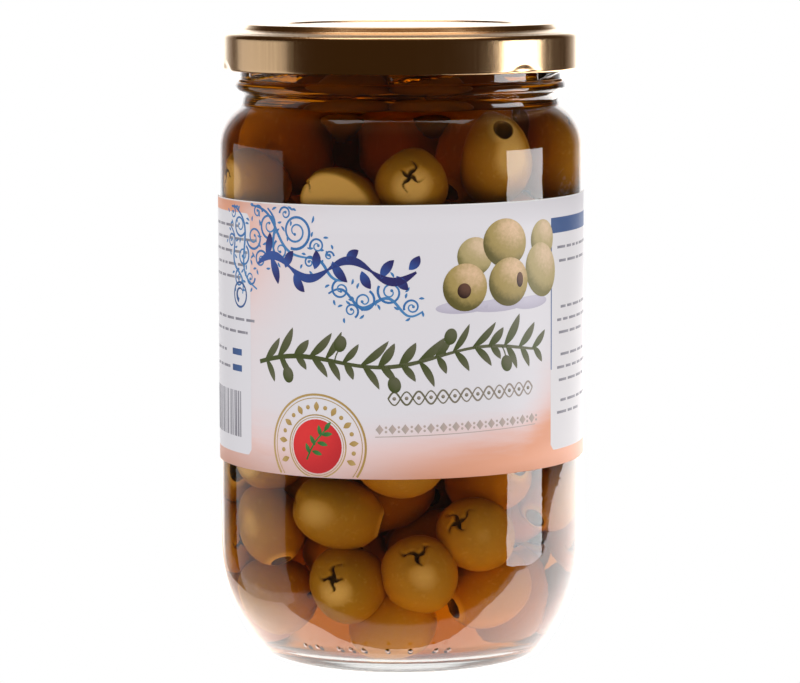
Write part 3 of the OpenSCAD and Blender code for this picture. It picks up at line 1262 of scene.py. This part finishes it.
class Sheet:
    """A thin raised print on the label, gathered from strokes and plates into one mesh."""

    RINGS = (1, 0.9, 0.75, 0.6, 0.4, 0.2)

    def __init__(self, label: Label, lift: float = 0.03) -> None:
        """Starts an empty print.

        Args:
            label: The label that it lies on.
            lift: How far its face stands above the paper. Its underside is sunk a little into the paper.
        """
        self.label = label
        self.top = label.paper + lift
        self.base = label.paper - 0.02
        self.points: list[np.ndarray] = []
        self.faces: list[np.ndarray] = []
        self.tones: list[np.ndarray] = []
        self.count = 0

    def add(self, points: np.ndarray, faces: list[np.ndarray], tone: np.ndarray) -> None:
        """Adds one closed shape.

        Args:
            points: Its vertices.
            faces: Its face arrays.
            tone: A number for each vertex, which the ink turns into a colour.
        """
        self.points.append(points)
        self.tones.append(tone)
        self.faces += [part + self.count for part in faces]
        self.count += len(points)

    def stroke(self, path: np.ndarray, width: float | np.ndarray, closed: bool = False) -> None:
        """Adds a stroke: at each place on the path, half the width to either side, from base to top.

        Args:
            path: Rows of (u, v).
            width: Full width, one number or one for each place.
            closed: Whether the end joins the start.
        """
        half = np.maximum(np.broadcast_to(width, len(path)) / 2, 0.015)[:, None]
        if closed:
            along = np.roll(path, -1, axis=0) - np.roll(path, 1, axis=0)
        else:
            along = np.gradient(path, axis=0)
        along = along / (np.linalg.norm(along, axis=1)[:, None] + 1e-9)
        side = np.stack([-along[:, 1], along[:, 0]], axis=1) * half
        left, right = path + side, path - side
        corners = np.stack([left, right, right, left], axis=1)
        corners[..., 1] = np.clip(corners[..., 1], self.label.low + 0.15, self.label.high - 0.3)
        lift = np.array([self.top, self.top, self.base, self.base])[None] + 0 * half
        points = self.label.onto(corners[..., 0], corners[..., 1], lift).reshape(-1, 3)
        faces = [grid_faces(len(path), 4, closed, True)]
        if not closed:
            last = 4 * (len(path) - 1)
            faces += [np.array([[3, 2, 1, 0]]), last + np.array([[0, 1, 2, 3]])]
        self.add(points, faces, np.repeat(np.linspace(0, 1, len(path)), 4))

    def plate(
        self, u: float, v: float, half_u: float, half_v: float, tilt: float = 0.0, light: float = 60.0,
        rise: float = 0.0,
    ) -> None:
        """Adds an ellipse with a tone that falls away from the lit side.

        Args:
            u: Middle, round the label.
            v: Middle, height.
            half_u: Half axis along u before the tilt.
            half_v: Half axis across it.
            tilt: Turn in degrees.
            light: Direction of the lit side in degrees.
            rise: How much higher its face lies than the print's other faces.
        """
        section = np.array([[0, 0], [1, 0], *([reach, 1] for reach in self.RINGS), [0, 1]], float)
        points, faces = revolve(section, 36)
        turn, lit = math.radians(tilt), math.radians(light)
        a, b = points[:, 0] * half_u, points[:, 1] * half_v
        place_u, place_v = a * math.cos(turn) - b * math.sin(turn), a * math.sin(turn) + b * math.cos(turn)
        toward = (points[:, 0] * math.cos(lit - turn) + points[:, 1] * math.sin(lit - turn))
        rim = np.hypot(points[:, 0], points[:, 1])
        tone = np.clip(0.62 + 0.42 * toward - 0.30 * rim**3, 0, 1)
        lift = np.where(points[:, 2] > 0.5, self.top + rise, self.base)
        self.add(self.label.onto(u + place_u, v + place_v, lift), faces, tone)

    def build(self, name: str) -> bpy.types.Object:
        """The whole print as one mesh with the attribute tone.

        Args:
            name: Name of the piece.

        Returns:
            The piece.
        """
        piece = put_mesh(name, np.concatenate(self.points), self.faces, smooth=False)
        put_values(piece, "tone", np.concatenate(self.tones))
        return piece


@dataclass(frozen=True)
class Ink:
    """Printed ink that goes from one colour to another along each stroke, with a faint mottle."""

    name: str
    first: Triple
    second: Triple
    middle: Triple | None = None

    def finish(self) -> Finish:
        """The material: the tone, from 0 to 1, picks the colour.

        Returns:
            The finish.
        """
        tree = Finish(self.name)
        tone = tree.attribute("tone") + (tree.noise(1200.0, 3.0, 0.6) - 0.5) * 0.25
        if self.middle is None:
            colour = tree.mix(tone.step(0.0, 1.0), self.first, self.second)
        else:
            colour = tree.mix(tone.step(0.1, 0.5), self.first, self.middle)
            colour = tree.mix(tone.step(0.5, 1.0), colour, self.second)
        tree.principled(Base_Color=colour, Roughness=tree.noise(700.0) * 0.12 + 0.4, IOR=1.4)
        return tree


def wave(start: Pair, end: Pair, height: float, turns: float, steps: int) -> np.ndarray:
    """A straight line with a sine across it: start + share x run + height sin(2 pi turns share) across.

    Args:
        start: First place.
        end: Last place.
        height: Height of the sine.
        turns: How many full waves it has.
        steps: Number of steps.

    Returns:
        Rows of (u, v).
    """
    share = np.linspace(0, 1, steps + 1)[:, None]
    run = np.asarray(end, float) - np.asarray(start, float)
    across = np.array([-run[1], run[0]]) / np.linalg.norm(run)
    return np.asarray(start) + share * run + height * np.sin(TAU * turns * share) * across


def curl(u: float, v: float, size: float, start: float, turns: float, hand: int) -> np.ndarray:
    """A spiral that winds in from its outer end: radius size x (1 - 0.82 share), angle in even steps.

    Args:
        u: Middle.
        v: Middle.
        size: Outer radius.
        start: Angle of the outer end in degrees.
        turns: Number of turns.
        hand: 1 to wind anticlockwise, -1 clockwise.

    Returns:
        Rows of (u, v).
    """
    share = np.linspace(0, 1, int(26 * turns) + 8)
    angle = math.radians(start) + hand * TAU * turns * share
    radius = size * (1 - 0.82 * share)
    return np.stack([u + radius * np.cos(angle), v + radius * np.sin(angle)], axis=1)


def leaf(root: Pair, heading: float, length: float, bend: float = 15.0) -> np.ndarray:
    """The midrib of a leaf: a path whose heading turns evenly by bend.

    Args:
        root: Where it starts.
        heading: Direction in degrees.
        length: Its length.
        bend: Total turn in degrees.

    Returns:
        Rows of (u, v).
    """
    angle = np.radians(heading + bend * np.linspace(0, 1, 14))
    steps = np.stack([np.cos(angle), np.sin(angle)], axis=1) * length / 14
    return np.asarray(root) + np.concatenate([[[0, 0]], np.cumsum(steps, axis=0)])


def leaf_width(widest: float) -> np.ndarray:
    """Widths along a leaf: a sine to the power 0.8, widest in the middle."""
    return widest * np.sin(np.pi * np.linspace(0.0, 1.0, 15)) ** 0.8


@dataclass
class Prints:
    """All that is printed on the label, in a generic design of scrolls, leaves, olives, rules and bars."""

    label: Label

    def scrolls(self) -> bpy.types.Object:
        """Blue scrollwork in the upper left, with a tail under the vine.

        Each curl is (middle u, middle v, size, first angle, turns, hand), and each stem (start, end, height
        of its wave, waves). Four small leaves stand round each curl.

        Returns:
            The print.
        """
        sheet = Sheet(self.label)
        curls = (
            (-25.5, 104.0, 4.2, 250, 2.0, 1), (-33.5, 105.0, 3.2, 300, 1.6, -1),
            (-39.0, 102.0, 3.0, 200, 1.6, 1), (-45.0, 104.5, 2.8, 330, 1.5, -1),
            (-30.0, 99.5, 2.4, 120, 1.4, 1), (-43.5, 97.5, 2.6, 60, 1.6, -1),
            (-36.5, 97.0, 2.2, 30, 1.4, 1), (-45.5, 92.0, 2.2, 90, 1.4, 1),
            (-40.5, 92.5, 1.8, 0, 1.3, -1), (-28.5, 108.0, 1.7, 180, 1.3, -1),
            (-37.5, 108.0, 1.7, 0, 1.3, 1), (-19.8, 100.8, 1.9, 200, 1.5, -1),
            (-14.0, 91.0, 2.3, 100, 1.5, 1), (-8.5, 88.5, 2.6, 60, 1.6, -1),
            (-2.5, 90.5, 2.9, 150, 1.7, 1), (-11.5, 86.2, 1.8, 300, 1.4, 1),
            (2.5, 87.0, 1.9, 200, 1.5, -1), (-49.5, 100.5, 1.8, 40, 1.3, 1),
            (-48.5, 107.2, 1.6, 120, 1.2, -1), (-21.8, 97.0, 1.4, 60, 1.2, 1),
            (-16.8, 98.6, 1.2, 0, 1.2, 1),
        )
        for u, v, size, start, turns, hand in curls:
            path = curl(u, v, size, start, turns, hand)
            sheet.stroke(path, np.linspace(0.55, 0.26, len(path)) * (0.7 + 0.12 * size))
            sheet.plate(*path[-1], 0.34, 0.34)
            for n in range(4):
                root = start + 60 + 75 * n
                out = np.radians(root)
                at = (u + (size + 0.55) * math.cos(out), v + (size + 0.55) * math.sin(out))
                sheet.stroke(leaf(at, root + 30 * hand, 0.9 + 0.22 * size, 40 * hand), leaf_width(0.55))
        stems = (
            ((-48, 109), (-38, 90), 2.6, 1.0), ((-40, 109.4), (-22, 98), 1.8, 1.0),
            ((-50, 104), (-44, 88.5), 1.2, 1.5), ((-34, 109), (-30, 97), 1.2, 1.0),
            ((-22, 98), (-13, 93), 0.9, 1.0), ((-17, 90), (5, 86), 1.6, 2.0),
        )
        for start, end, height, turns in stems:
            path = wave(start, end, height, turns, 50)
            sheet.stroke(path, 0.4 + 0.3 * np.sin(np.pi * np.linspace(0, 1, 51)))
        return sheet.build("scroll_print")

    def vine(self) -> bpy.types.Object:
        """Bold navy vine below the scrolls: a swelling stem with pointed leaves.

        Each leaf is (root u, root v, heading, length, bend).

        Returns:
            The print.
        """
        sheet = Sheet(self.label, 0.045)
        stem = wave((-37.5, 96.0), (3.5, 95.0), 2.3, 2.0, 90)
        sheet.stroke(stem, 0.5 + 1.5 * np.abs(np.sin(2 * TAU * np.linspace(0, 1, 91))))
        leaves = (
            (-34.5, 98.0, 65, 5.6, 25), (-33.0, 97.8, -60, 6.6, -20), (-28.5, 95.5, 75, 4.6, -30),
            (-26.0, 94.2, -70, 5.0, 30), (-20.5, 95.5, 70, 4.4, 30), (-16.0, 97.4, -65, 6.0, 25),
            (-12.5, 97.5, 55, 3.8, -25), (-9.0, 95.3, -75, 4.6, 25), (-4.5, 93.6, 70, 5.2, -30),
            (-1.0, 94.2, -60, 4.2, 20), (1.8, 95.6, 40, 4.0, 25),
        )
        for u, v, heading, length, bend in leaves:
            sheet.stroke(leaf((u, v), heading, length, bend), leaf_width(2.2))
        return sheet.build("vine_print")

    def branch(self) -> bpy.types.Object:
        """Dark green olive branch across the middle, with slender leaves and small fruit.

        Returns:
            The print.
        """
        sheet = Sheet(self.label)
        share = np.linspace(0, 1, 121)
        stem = wave((-37.0, 73.2), (34.5, 76.6), 1.5, 1.6, 120)
        sheet.stroke(stem, 0.5 + 0.5 * (1 - share) + 0.2 * np.sin(9 * share) ** 2)
        at = np.linspace(0.03, 0.99, 17)
        for n, part in enumerate(at):
            root = stem[int(part * 120)]
            size = 7.4 + 1.6 * math.sin(2.3 * n)
            heading, widest = 38 + 9 * math.sin(1.9 * n), 1.9 + 0.3 * math.sin(n)
            sheet.stroke(leaf(root, heading, size, 22), leaf_width(widest))
            sheet.stroke(leaf(root + 0.4, -42 - 8 * math.cos(1.3 * n), size * 0.8, -24), leaf_width(1.7))
        for n, part in enumerate((0.11, 0.3, 0.48, 0.66, 0.86)):
            root = stem[int(part * 120)]
            side = 1 if n % 2 else -1
            sheet.stroke(wave(root, root + np.array([1.2, side * 2.9]), 0.2, 0.5, 8), 0.3)
            sheet.plate(root[0] + 1.4, root[1] + side * 4.1, 1.5, 1.9, -15 * side)
        return sheet.build("branch_print")

    def borders(self) -> bpy.types.Object:
        """Two thin running borders under the branch, with a bead where they part.

        Returns:
            The print.
        """
        sheet = Sheet(self.label)
        sheet.stroke(wave((-3.0, 66.0), (33.5, 66.9), 1.5, 6.5, 150), 0.42)
        sheet.stroke(wave((-3.0, 66.0), (33.5, 66.9), -1.5, 6.5, 150), 0.30)
        for n in range(13):
            sheet.plate(-1.6 + 2.81 * n, 66.05 + 0.07 * n, 0.42, 0.42)
        return sheet.build("border_print")

    def lozenges(self) -> bpy.types.Object:
        """A faint row of lozenges and dots.

        Returns:
            The print.
        """
        sheet = Sheet(self.label)
        for n in range(14):
            u, v = -5.0 + 2.95 * n, 58.9 + 0.06 * n
            sheet.stroke(np.array([[u - 0.9, v], [u, v], [u + 0.9, v]]), np.array([0.0, 2.3, 0.0]))
            sheet.plate(u + 1.48, v + 0.5, 0.28, 0.28)
            sheet.plate(u + 1.48, v - 0.5, 0.28, 0.28)
        sheet.stroke(wave((-6.0, 57.2), (34.5, 58.2), 0.0, 1.0, 40), 0.16)
        return sheet.build("lozenge_print")

    def seal(self) -> list[tuple[bpy.types.Object, Ink]]:
        """Round seal, cut off by the label's lower edge: rings and beads, a red disc and a green sprig.

        Returns:
            Its three prints, each with its ink.
        """
        u, v = -20.2, 54.6
        rings, disc, sprig = Sheet(self.label), Sheet(self.label, 0.03), Sheet(self.label, 0.05)
        for radius, width in ((12.0, 0.5), (11.2, 0.18)):
            low = math.degrees(math.asin((self.label.low + 0.4 - v) / radius))
            rings.stroke(arc((u, v), radius, low, 180 - low, 110), width)
        for radius, width in ((7.3, 0.28), (6.75, 0.14)):
            rings.stroke(arc((u, v), radius, 0, 360, 90)[:-1], width, closed=True)
        for n in range(17):
            turn = math.radians(-22 + 224 * n / 16)
            spoke = np.array([math.cos(turn), math.sin(turn)])
            middle = np.array([u, v]) + 9.25 * spoke
            if n % 2:
                rings.plate(*middle, 0.5, 0.5)
            else:
                width = 1.3 * np.sin(np.pi * np.linspace(0, 1, 9))
                rings.stroke(middle + np.linspace(-1.15, 1.15, 9)[:, None] * spoke, width)
        disc.plate(u, v, 6.3, 6.3, light=120)
        sprig.stroke(wave((u - 2.6, v - 3.2), (u + 2.0, v + 3.6), 0.5, 0.5, 20), 0.4)
        leaves = ((0.2, 120), (0.3, -10), (0.5, 125), (0.6, -5), (0.82, 110), (0.86, 15), (1.0, 60))
        for along, heading in leaves:
            root = (u - 2.6 + 4.6 * along, v - 3.2 + 6.8 * along)
            sprig.stroke(leaf(root, heading, 2.7, -12), leaf_width(1.05))
        return [
            (rings.build("seal_print"), Ink("gold_ink", (0.42, 0.26, 0.07), (0.50, 0.33, 0.12))),
            (disc.build("disc_print"), Ink("red_ink", (0.55, 0.015, 0.02), (0.78, 0.03, 0.03))),
            (sprig.build("sprig_print"), Ink("leaf_ink", (0.03, 0.16, 0.03), (0.06, 0.24, 0.06))),
        ]

    def fruit(self) -> list[tuple[bpy.types.Object, Ink]]:
        """A heap of pale green pitted olives with their soft shadow and their holes.

        Each olive is (print, middle u, middle v, half length, half width, tilt).

        Returns:
            Its four prints, each with its ink.
        """
        shade, back, front, holes = (Sheet(self.label, lift) for lift in (0.015, 0.03, 0.045, 0.06))
        for n, (u, half_u) in enumerate(((14.5, 6.6), (24.0, 8.0), (33.0, 5.5))):
            shade.plate(u, 86.7, half_u, 1.5, 2, 90, rise=0.003 * n)
        heap = (
            (back, 17.4, 98.2, 4.4, 4.4, 10), (back, 37.0, 101.0, 4.0, 4.6, 0),
            (back, 36.6, 94.0, 5.2, 6.4, 15), (front, 25.4, 100.9, 6.0, 5.6, -12),
            (front, 15.0, 91.2, 5.4, 5.5, 8), (front, 26.4, 91.9, 5.5, 5.6, -6),
        )
        for n, (sheet, u, v, half_u, half_v, tilt) in enumerate(heap):
            sheet.plate(u, v, half_u, half_v, tilt, rise=0.01 * (n % 3))
        holes.plate(14.7, 90.4, 1.65, 1.75, 0, rise=0.02)
        holes.plate(29.5, 92.2, 0.95, 1.75, 0, rise=0.02)
        green = ((0.13, 0.105, 0.02), (0.90, 0.60, 0.40), (0.40, 0.29, 0.09))
        pale = ((0.20, 0.17, 0.05), (0.84, 0.60, 0.42), (0.46, 0.36, 0.16))
        return [
            (shade.build("shadow_print"), Ink("shadow_ink", (0.50, 0.46, 0.56), (0.60, 0.56, 0.66))),
            (back.build("fruit_back_print"), Ink("pale_fruit_ink", *pale)),
            (front.build("fruit_print"), Ink("fruit_ink", *green)),
            (holes.build("hole_print"), Ink("hole_ink", (0.04, 0.012, 0.008), (0.16, 0.07, 0.04))),
        ]

    def panels(self) -> list[tuple[bpy.types.Object, Ink]]:
        """Side panels: pale fields, a blue header, rules in grey, a plain ring and plain bars.

        Returns:
            Its three prints, each with its ink.
        """
        fields, blue, rules = Sheet(self.label, 0.015), Sheet(self.label, 0.03), Sheet(self.label, 0.03)
        for start, end, low, high in ((-104.0, -40.6, 50.8, 107.4), (40.3, 104.0, 51.2, 105.6)):
            middle = (low + high) / 2
            u = np.linspace(start, end, 60)
            corner = np.clip((np.minimum(u - start, end - u) + 0.02) / 1.6, 0, 1)
            height = high - low - 3.2 * (1 - np.sqrt(1 - (1 - corner) ** 2))
            fields.stroke(np.stack([u, np.full(60, middle)], axis=1), height)
        blue.stroke(np.stack([np.linspace(40.3, 76.0, 40), np.full(40, 103.8)], axis=1), 3.6)
        blue.stroke(np.array([[40.45, 102.0], [40.45, 86.0], [40.45, 70.2]]), 0.32)
        blue.stroke(arc((-45.2, 88.2), 2.9, 0, 360, 48)[:-1], 0.5, closed=True)
        blue.stroke(arc((-45.2, 88.2), 1.5, 40, 250, 24), np.linspace(0.2, 1.1, 25))
        for n, v in enumerate((98.6, 95.4, 84.6, 81.6, 78.6, 73.4, 70.4, 67.4, 62.6, 59.8)):
            reach = (20, 17, 19, 21, 15, 18, 22, 16, 20, 12)[n]
            self.words(rules, 43.0 + (n % 3) * 0.8, v, reach, n)
            self.words(rules, 70.0, v, 14 + (n * 5) % 11, n + 20)
        for n, v in enumerate((104.2, 101.2, 98.2, 95.2, 92.2, 82.4, 79.4)):
            self.words(rules, -63.0 + (n % 2) * 1.5, v, 18 + (n * 7) % 4, n + 40)
            self.words(rules, -96.0, v, 20 + (n * 5) % 8, n + 60)
        for n, v in enumerate((74.6, 70.8)):
            blue.stroke(np.stack([np.linspace(-49.5, -44.6, 8), np.full(8, v)], axis=1), 1.5)
            self.words(rules, -63.0, v, 9, n + 80)
        bars = np.random.default_rng(5)
        u = -66.0
        while u < -44.2:
            width = float(bars.choice([0.25, 0.5, 0.75]))
            rules.stroke(np.array([[u, 54.6], [u, 60.0], [u, 65.4]]), width)
            u += width + float(bars.choice([0.3, 0.45, 0.7]))
        return [
            (fields.build("panel_print"), Ink("panel_ink", (0.74, 0.71, 0.73), (0.74, 0.72, 0.76))),
            (blue.build("header_print"), Ink("header_ink", (0.03, 0.085, 0.25), (0.04, 0.11, 0.30))),
            (rules.build("rule_print"), Ink("rule_ink", (0.22, 0.21, 0.25), (0.30, 0.29, 0.33))),
        ]

    @staticmethod
    def words(sheet: Sheet, start: float, v: float, reach: float, seed: int) -> None:
        """Adds a broken rule: short thin bars of uneven length in a row.

        Args:
            sheet: The print to add to.
            start: Left end.
            v: Height.
            reach: Length of the whole row.
            seed: Seed of its unevenness.
        """
        rng = np.random.default_rng(seed)
        u = start
        while u < start + reach:
            length = float(rng.uniform(1.6, 5.0))
            steps = max(3, int(length / 1.2))
            sheet.stroke(np.stack([np.linspace(u, u + length, steps), np.full(steps, v)], axis=1), 0.62)
            u += length + 0.9

    def build(self) -> list[tuple[bpy.types.Object, Ink]]:
        """Every print, made in this order.

        Returns:
            The prints, each with its ink.
        """
        return [
            (self.scrolls(), Ink("scroll_ink", (0.035, 0.16, 0.42), (0.07, 0.24, 0.50))),
            (self.vine(), Ink("vine_ink", (0.03, 0.085, 0.33), (0.025, 0.02, 0.14))),
            (self.branch(), Ink("branch_ink", (0.065, 0.085, 0.015), (0.13, 0.13, 0.07))),
            (self.borders(), Ink("border_ink", (0.14, 0.13, 0.07), (0.34, 0.28, 0.24))),
            (self.lozenges(), Ink("lozenge_ink", (0.42, 0.36, 0.32), (0.52, 0.40, 0.36))),
            *self.seal(),
            *self.fruit(),
            *self.panels(),
        ]


# ---------------------------------------------------------------- studio


@dataclass
class Studio:
    """Pale floor, white surround, bright table top, side softboxes, a soft top light and the camera."""

    camera_far: float = 856.0
    camera_high: float = 173.2
    pitch: float = 6.6
    roll: float = 0.16
    lens: float = 161.6
    table: tuple[Pair, ...] = (
        (-57, -31), (-30, -39.5), (16, -42.5), (40, -48.5), (112, -51), (265, 56), (500, 700), (-160, 700),
        (-76, 20),
    )
    table_glow: float = 4.0
    table_dim: Triple = (0.34, 0.29, 0.26)
    table_white: Triple = (1.0, 0.96, 0.93)
    room_tint: Triple = (0.84, 0.46, 0.18)

    def camera(self) -> None:
        """Sets up the camera in front of the jar, tipped down by the pitch."""
        data = bpy.data.cameras.new("camera")
        data.lens = self.lens
        data.clip_start = 0.01
        eye = bpy.data.objects.new("camera", data)
        eye.location = (0.0, -self.camera_far * MM, self.camera_high * MM)
        eye.rotation_euler = (math.radians(90 - self.pitch), math.radians(self.roll), 0.0)
        bpy.context.scene.collection.objects.link(eye)
        bpy.context.scene.camera = eye

    def softbox(
        self, name: str, azimuth: float, distance: float, width: float, low: float, high: float, glow: float,
        lean: float = 0.0,
    ) -> None:
        """Adds a rectangular light that faces the jar's axis and is seen only in reflections.

        Args:
            name: Its name.
            azimuth: Direction from the jar in degrees, from the front, positive to the right.
            distance: Distance from the axis.
            width: Its width.
            low: Height of its lower edge.
            high: Height of its upper edge.
            glow: Radiance, where 1 is white.
            lean: Degrees that its face is tipped down.
        """
        data = bpy.data.lights.new(name, "AREA")
        data.shape = "RECTANGLE"
        data.size, data.size_y = width * MM, (high - low) * MM
        data.energy = glow * data.size * data.size_y * math.pi
        lamp = bpy.data.objects.new(name, data)
        turn = math.radians(azimuth)
        middle = (low + high) / 2
        lamp.location = (distance * math.sin(turn) * MM, -distance * math.cos(turn) * MM, middle * MM)
        lamp.rotation_euler = (math.radians(90 - lean), 0.0, turn)
        lamp.visible_transmission = lamp.visible_diffuse = False
        bpy.context.scene.collection.objects.link(lamp)

    def surround(self) -> None:
        """The world, whose brightness depends on the direction and on the kind of ray.

        It is white to the camera. Reflections show it bright low behind and dim in front. Through glass it is
        bright behind, and it lights what stands inside from both sides. All else has an even dome.
        """
        world = bpy.data.worlds.new("surround")
        bpy.context.scene.world = world
        world.use_nodes = True
        world.cycles.sampling_method = "NONE"
        graph = Graph(world.node_tree)
        x, y, z = graph.axes("Generated")
        back = y.step(0.86, 0.93)
        behind = y.step(0.7, 0.85)
        mirrored = back * (1.0 - z.step(0.25, 0.4)) * 1.5 + behind * 0.5 + z.step(0.7, 0.9) * 0.3 + 0.055
        through = back * 0.95 + 0.03
        sides = (x * -1.0).step(0.45, 0.95) * 1.5 + x.step(0.45, 0.95)
        even = z.step(-0.2, 0.9) * 0.2 + 0.92
        inner = sides * (1.0 - z.step(0.05, 0.35)) * 2.2 + 0.36
        shown = graph.nodes["Background"].inputs
        graph.feed(shown["Strength"], self.by_ray(graph, mirrored, through, inner, even))
        reflected = graph.path("Is Glossy Ray") * (1.0 - graph.path("Is Transmission Ray"))
        graph.feed(shown["Color"], graph.mix(reflected * (1.0 - behind), (1.0, 1.0, 1.0), self.room_tint))

    @staticmethod
    def by_ray(
        graph: Graph, mirrored: Field | float, through: Field, inner: Field | float, even: Field | float
    ) -> Field:
        """Brightness by the kind of ray: the camera sees 1.

        Args:
            graph: The node tree.
            mirrored: Brightness in a reflection.
            through: Brightness through clear glass.
            inner: Brightness as light on what stands inside the glass, after a first diffuse bounce.
            even: Brightness as light on everything else.

        Returns:
            The chosen brightness.
        """
        bounced = graph.path("Diffuse Depth").step(0.0, 1.0)
        passed = graph.path("Is Transmission Ray")
        glossy = graph.path("Is Glossy Ray") * (1.0 - passed)
        camera = graph.path("Is Camera Ray")
        rest = 1.0 - (glossy + passed + camera)
        inside = passed * ((1.0 - bounced) * through + bounced * inner)
        return camera + glossy * mirrored + inside + rest * even

    def floor(self) -> None:
        """A wide round floor that glows, and the lit table top that reflections show.

        The table top ends just in front of the jar, a little to its left and along a slanting line to its
        right. Through glass the floor shows the same outline, much dimmer beyond it.
        """
        section = np.array([[0.0, -1.0], [1500.0, -1.0], [1500.0, -0.02], [0.0, -0.02]])
        ground = put_mesh("floor", *revolve(section, 96), smooth=False)
        tree = Finish("floor_white")
        x, y, z = tree.axes()
        past_front, past_left = y.step(-51 * MM, -48 * MM), (x + y * 0.4).step(-80 * MM, -76 * MM)
        past_right = (x * 0.575 - y * 0.817).step(105 * MM, 109 * MM)
        top = past_front * past_left * (1.0 - past_right)
        glow = self.by_ray(tree, mirrored=1.0, through=top * 0.80 + 0.03, inner=2.8, even=0.85)
        tree.principled(Base_Color=(0.0, 0.0, 0.0), Roughness=1.0, Specular_IOR_Level=0.0)
        tree.principled(Emission_Color=(1.0, 1.0, 1.0), Emission_Strength=glow)
        ground.data.materials.append(tree.material)
        ground.visible_glossy = False
        corners = np.array([(x, y, -0.01) for x, y in self.table])
        lit = put_mesh("table_top", corners, [np.arange(len(corners))[None]], smooth=False)
        tree = Finish("table_glow")
        fade = tree.mix(tree.axes()[0].step(-75 * MM, -30 * MM), self.table_dim, self.table_white)
        tree.principled(Base_Color=(0.0, 0.0, 0.0), Emission_Color=fade, Emission_Strength=self.table_glow)
        lit.data.materials.append(tree.material)
        lit.visible_camera = lit.visible_diffuse = lit.visible_transmission = lit.visible_shadow = False

    def build(self) -> None:
        """Camera, floor, lights and render settings that belong to the look."""
        self.camera()
        self.floor()
        self.surround()
        self.softbox("left_box", azimuth=-101, distance=600, width=560, low=-350, high=160, glow=0.85)
        self.softbox("right_box", azimuth=82, distance=600, width=310, low=-105, high=160, glow=7.5)
        self.softbox("top_box", azimuth=180, distance=60, width=860, low=700, high=1200, glow=2.2, lean=90)
        scene = bpy.context.scene
        scene.view_settings.view_transform = "Standard"
        scene.cycles.max_bounces = 24
        scene.cycles.transmission_bounces = 20
        scene.cycles.glossy_bounces = 6
        scene.cycles.diffuse_bounces = 4
        scene.cycles.transparent_max_bounces = 8
        scene.cycles.use_denoising = True
        scene.cycles.denoiser = "OPENIMAGEDENOISE"


def main() -> None:
    """Builds the jar from the glass outwards and reports each piece."""
    logging.basicConfig(level=logging.INFO, format="%(name)s %(message)s")
    glass = Glass()
    dress(glass.build(), ClearGlass().finish(), ("glass_jar",))
    brine = Brine(glass)
    dress(brine.build(), AmberBrine().finish(), ("contents",))
    skin = OliveSkin().finish()
    for piece in Olives(glass, brine.level).build():
        dress(piece, skin)
    dress(Cap(glass).build(), GoldLacquer().finish(), ("lid",))
    label = Label(glass)
    dress(label.build(), LabelPaper().finish(), ("label",))
    for piece, ink in Prints(label).build():
        dress(piece, ink.finish())
    Studio().build()


if __name__ == "__main__":
    main()
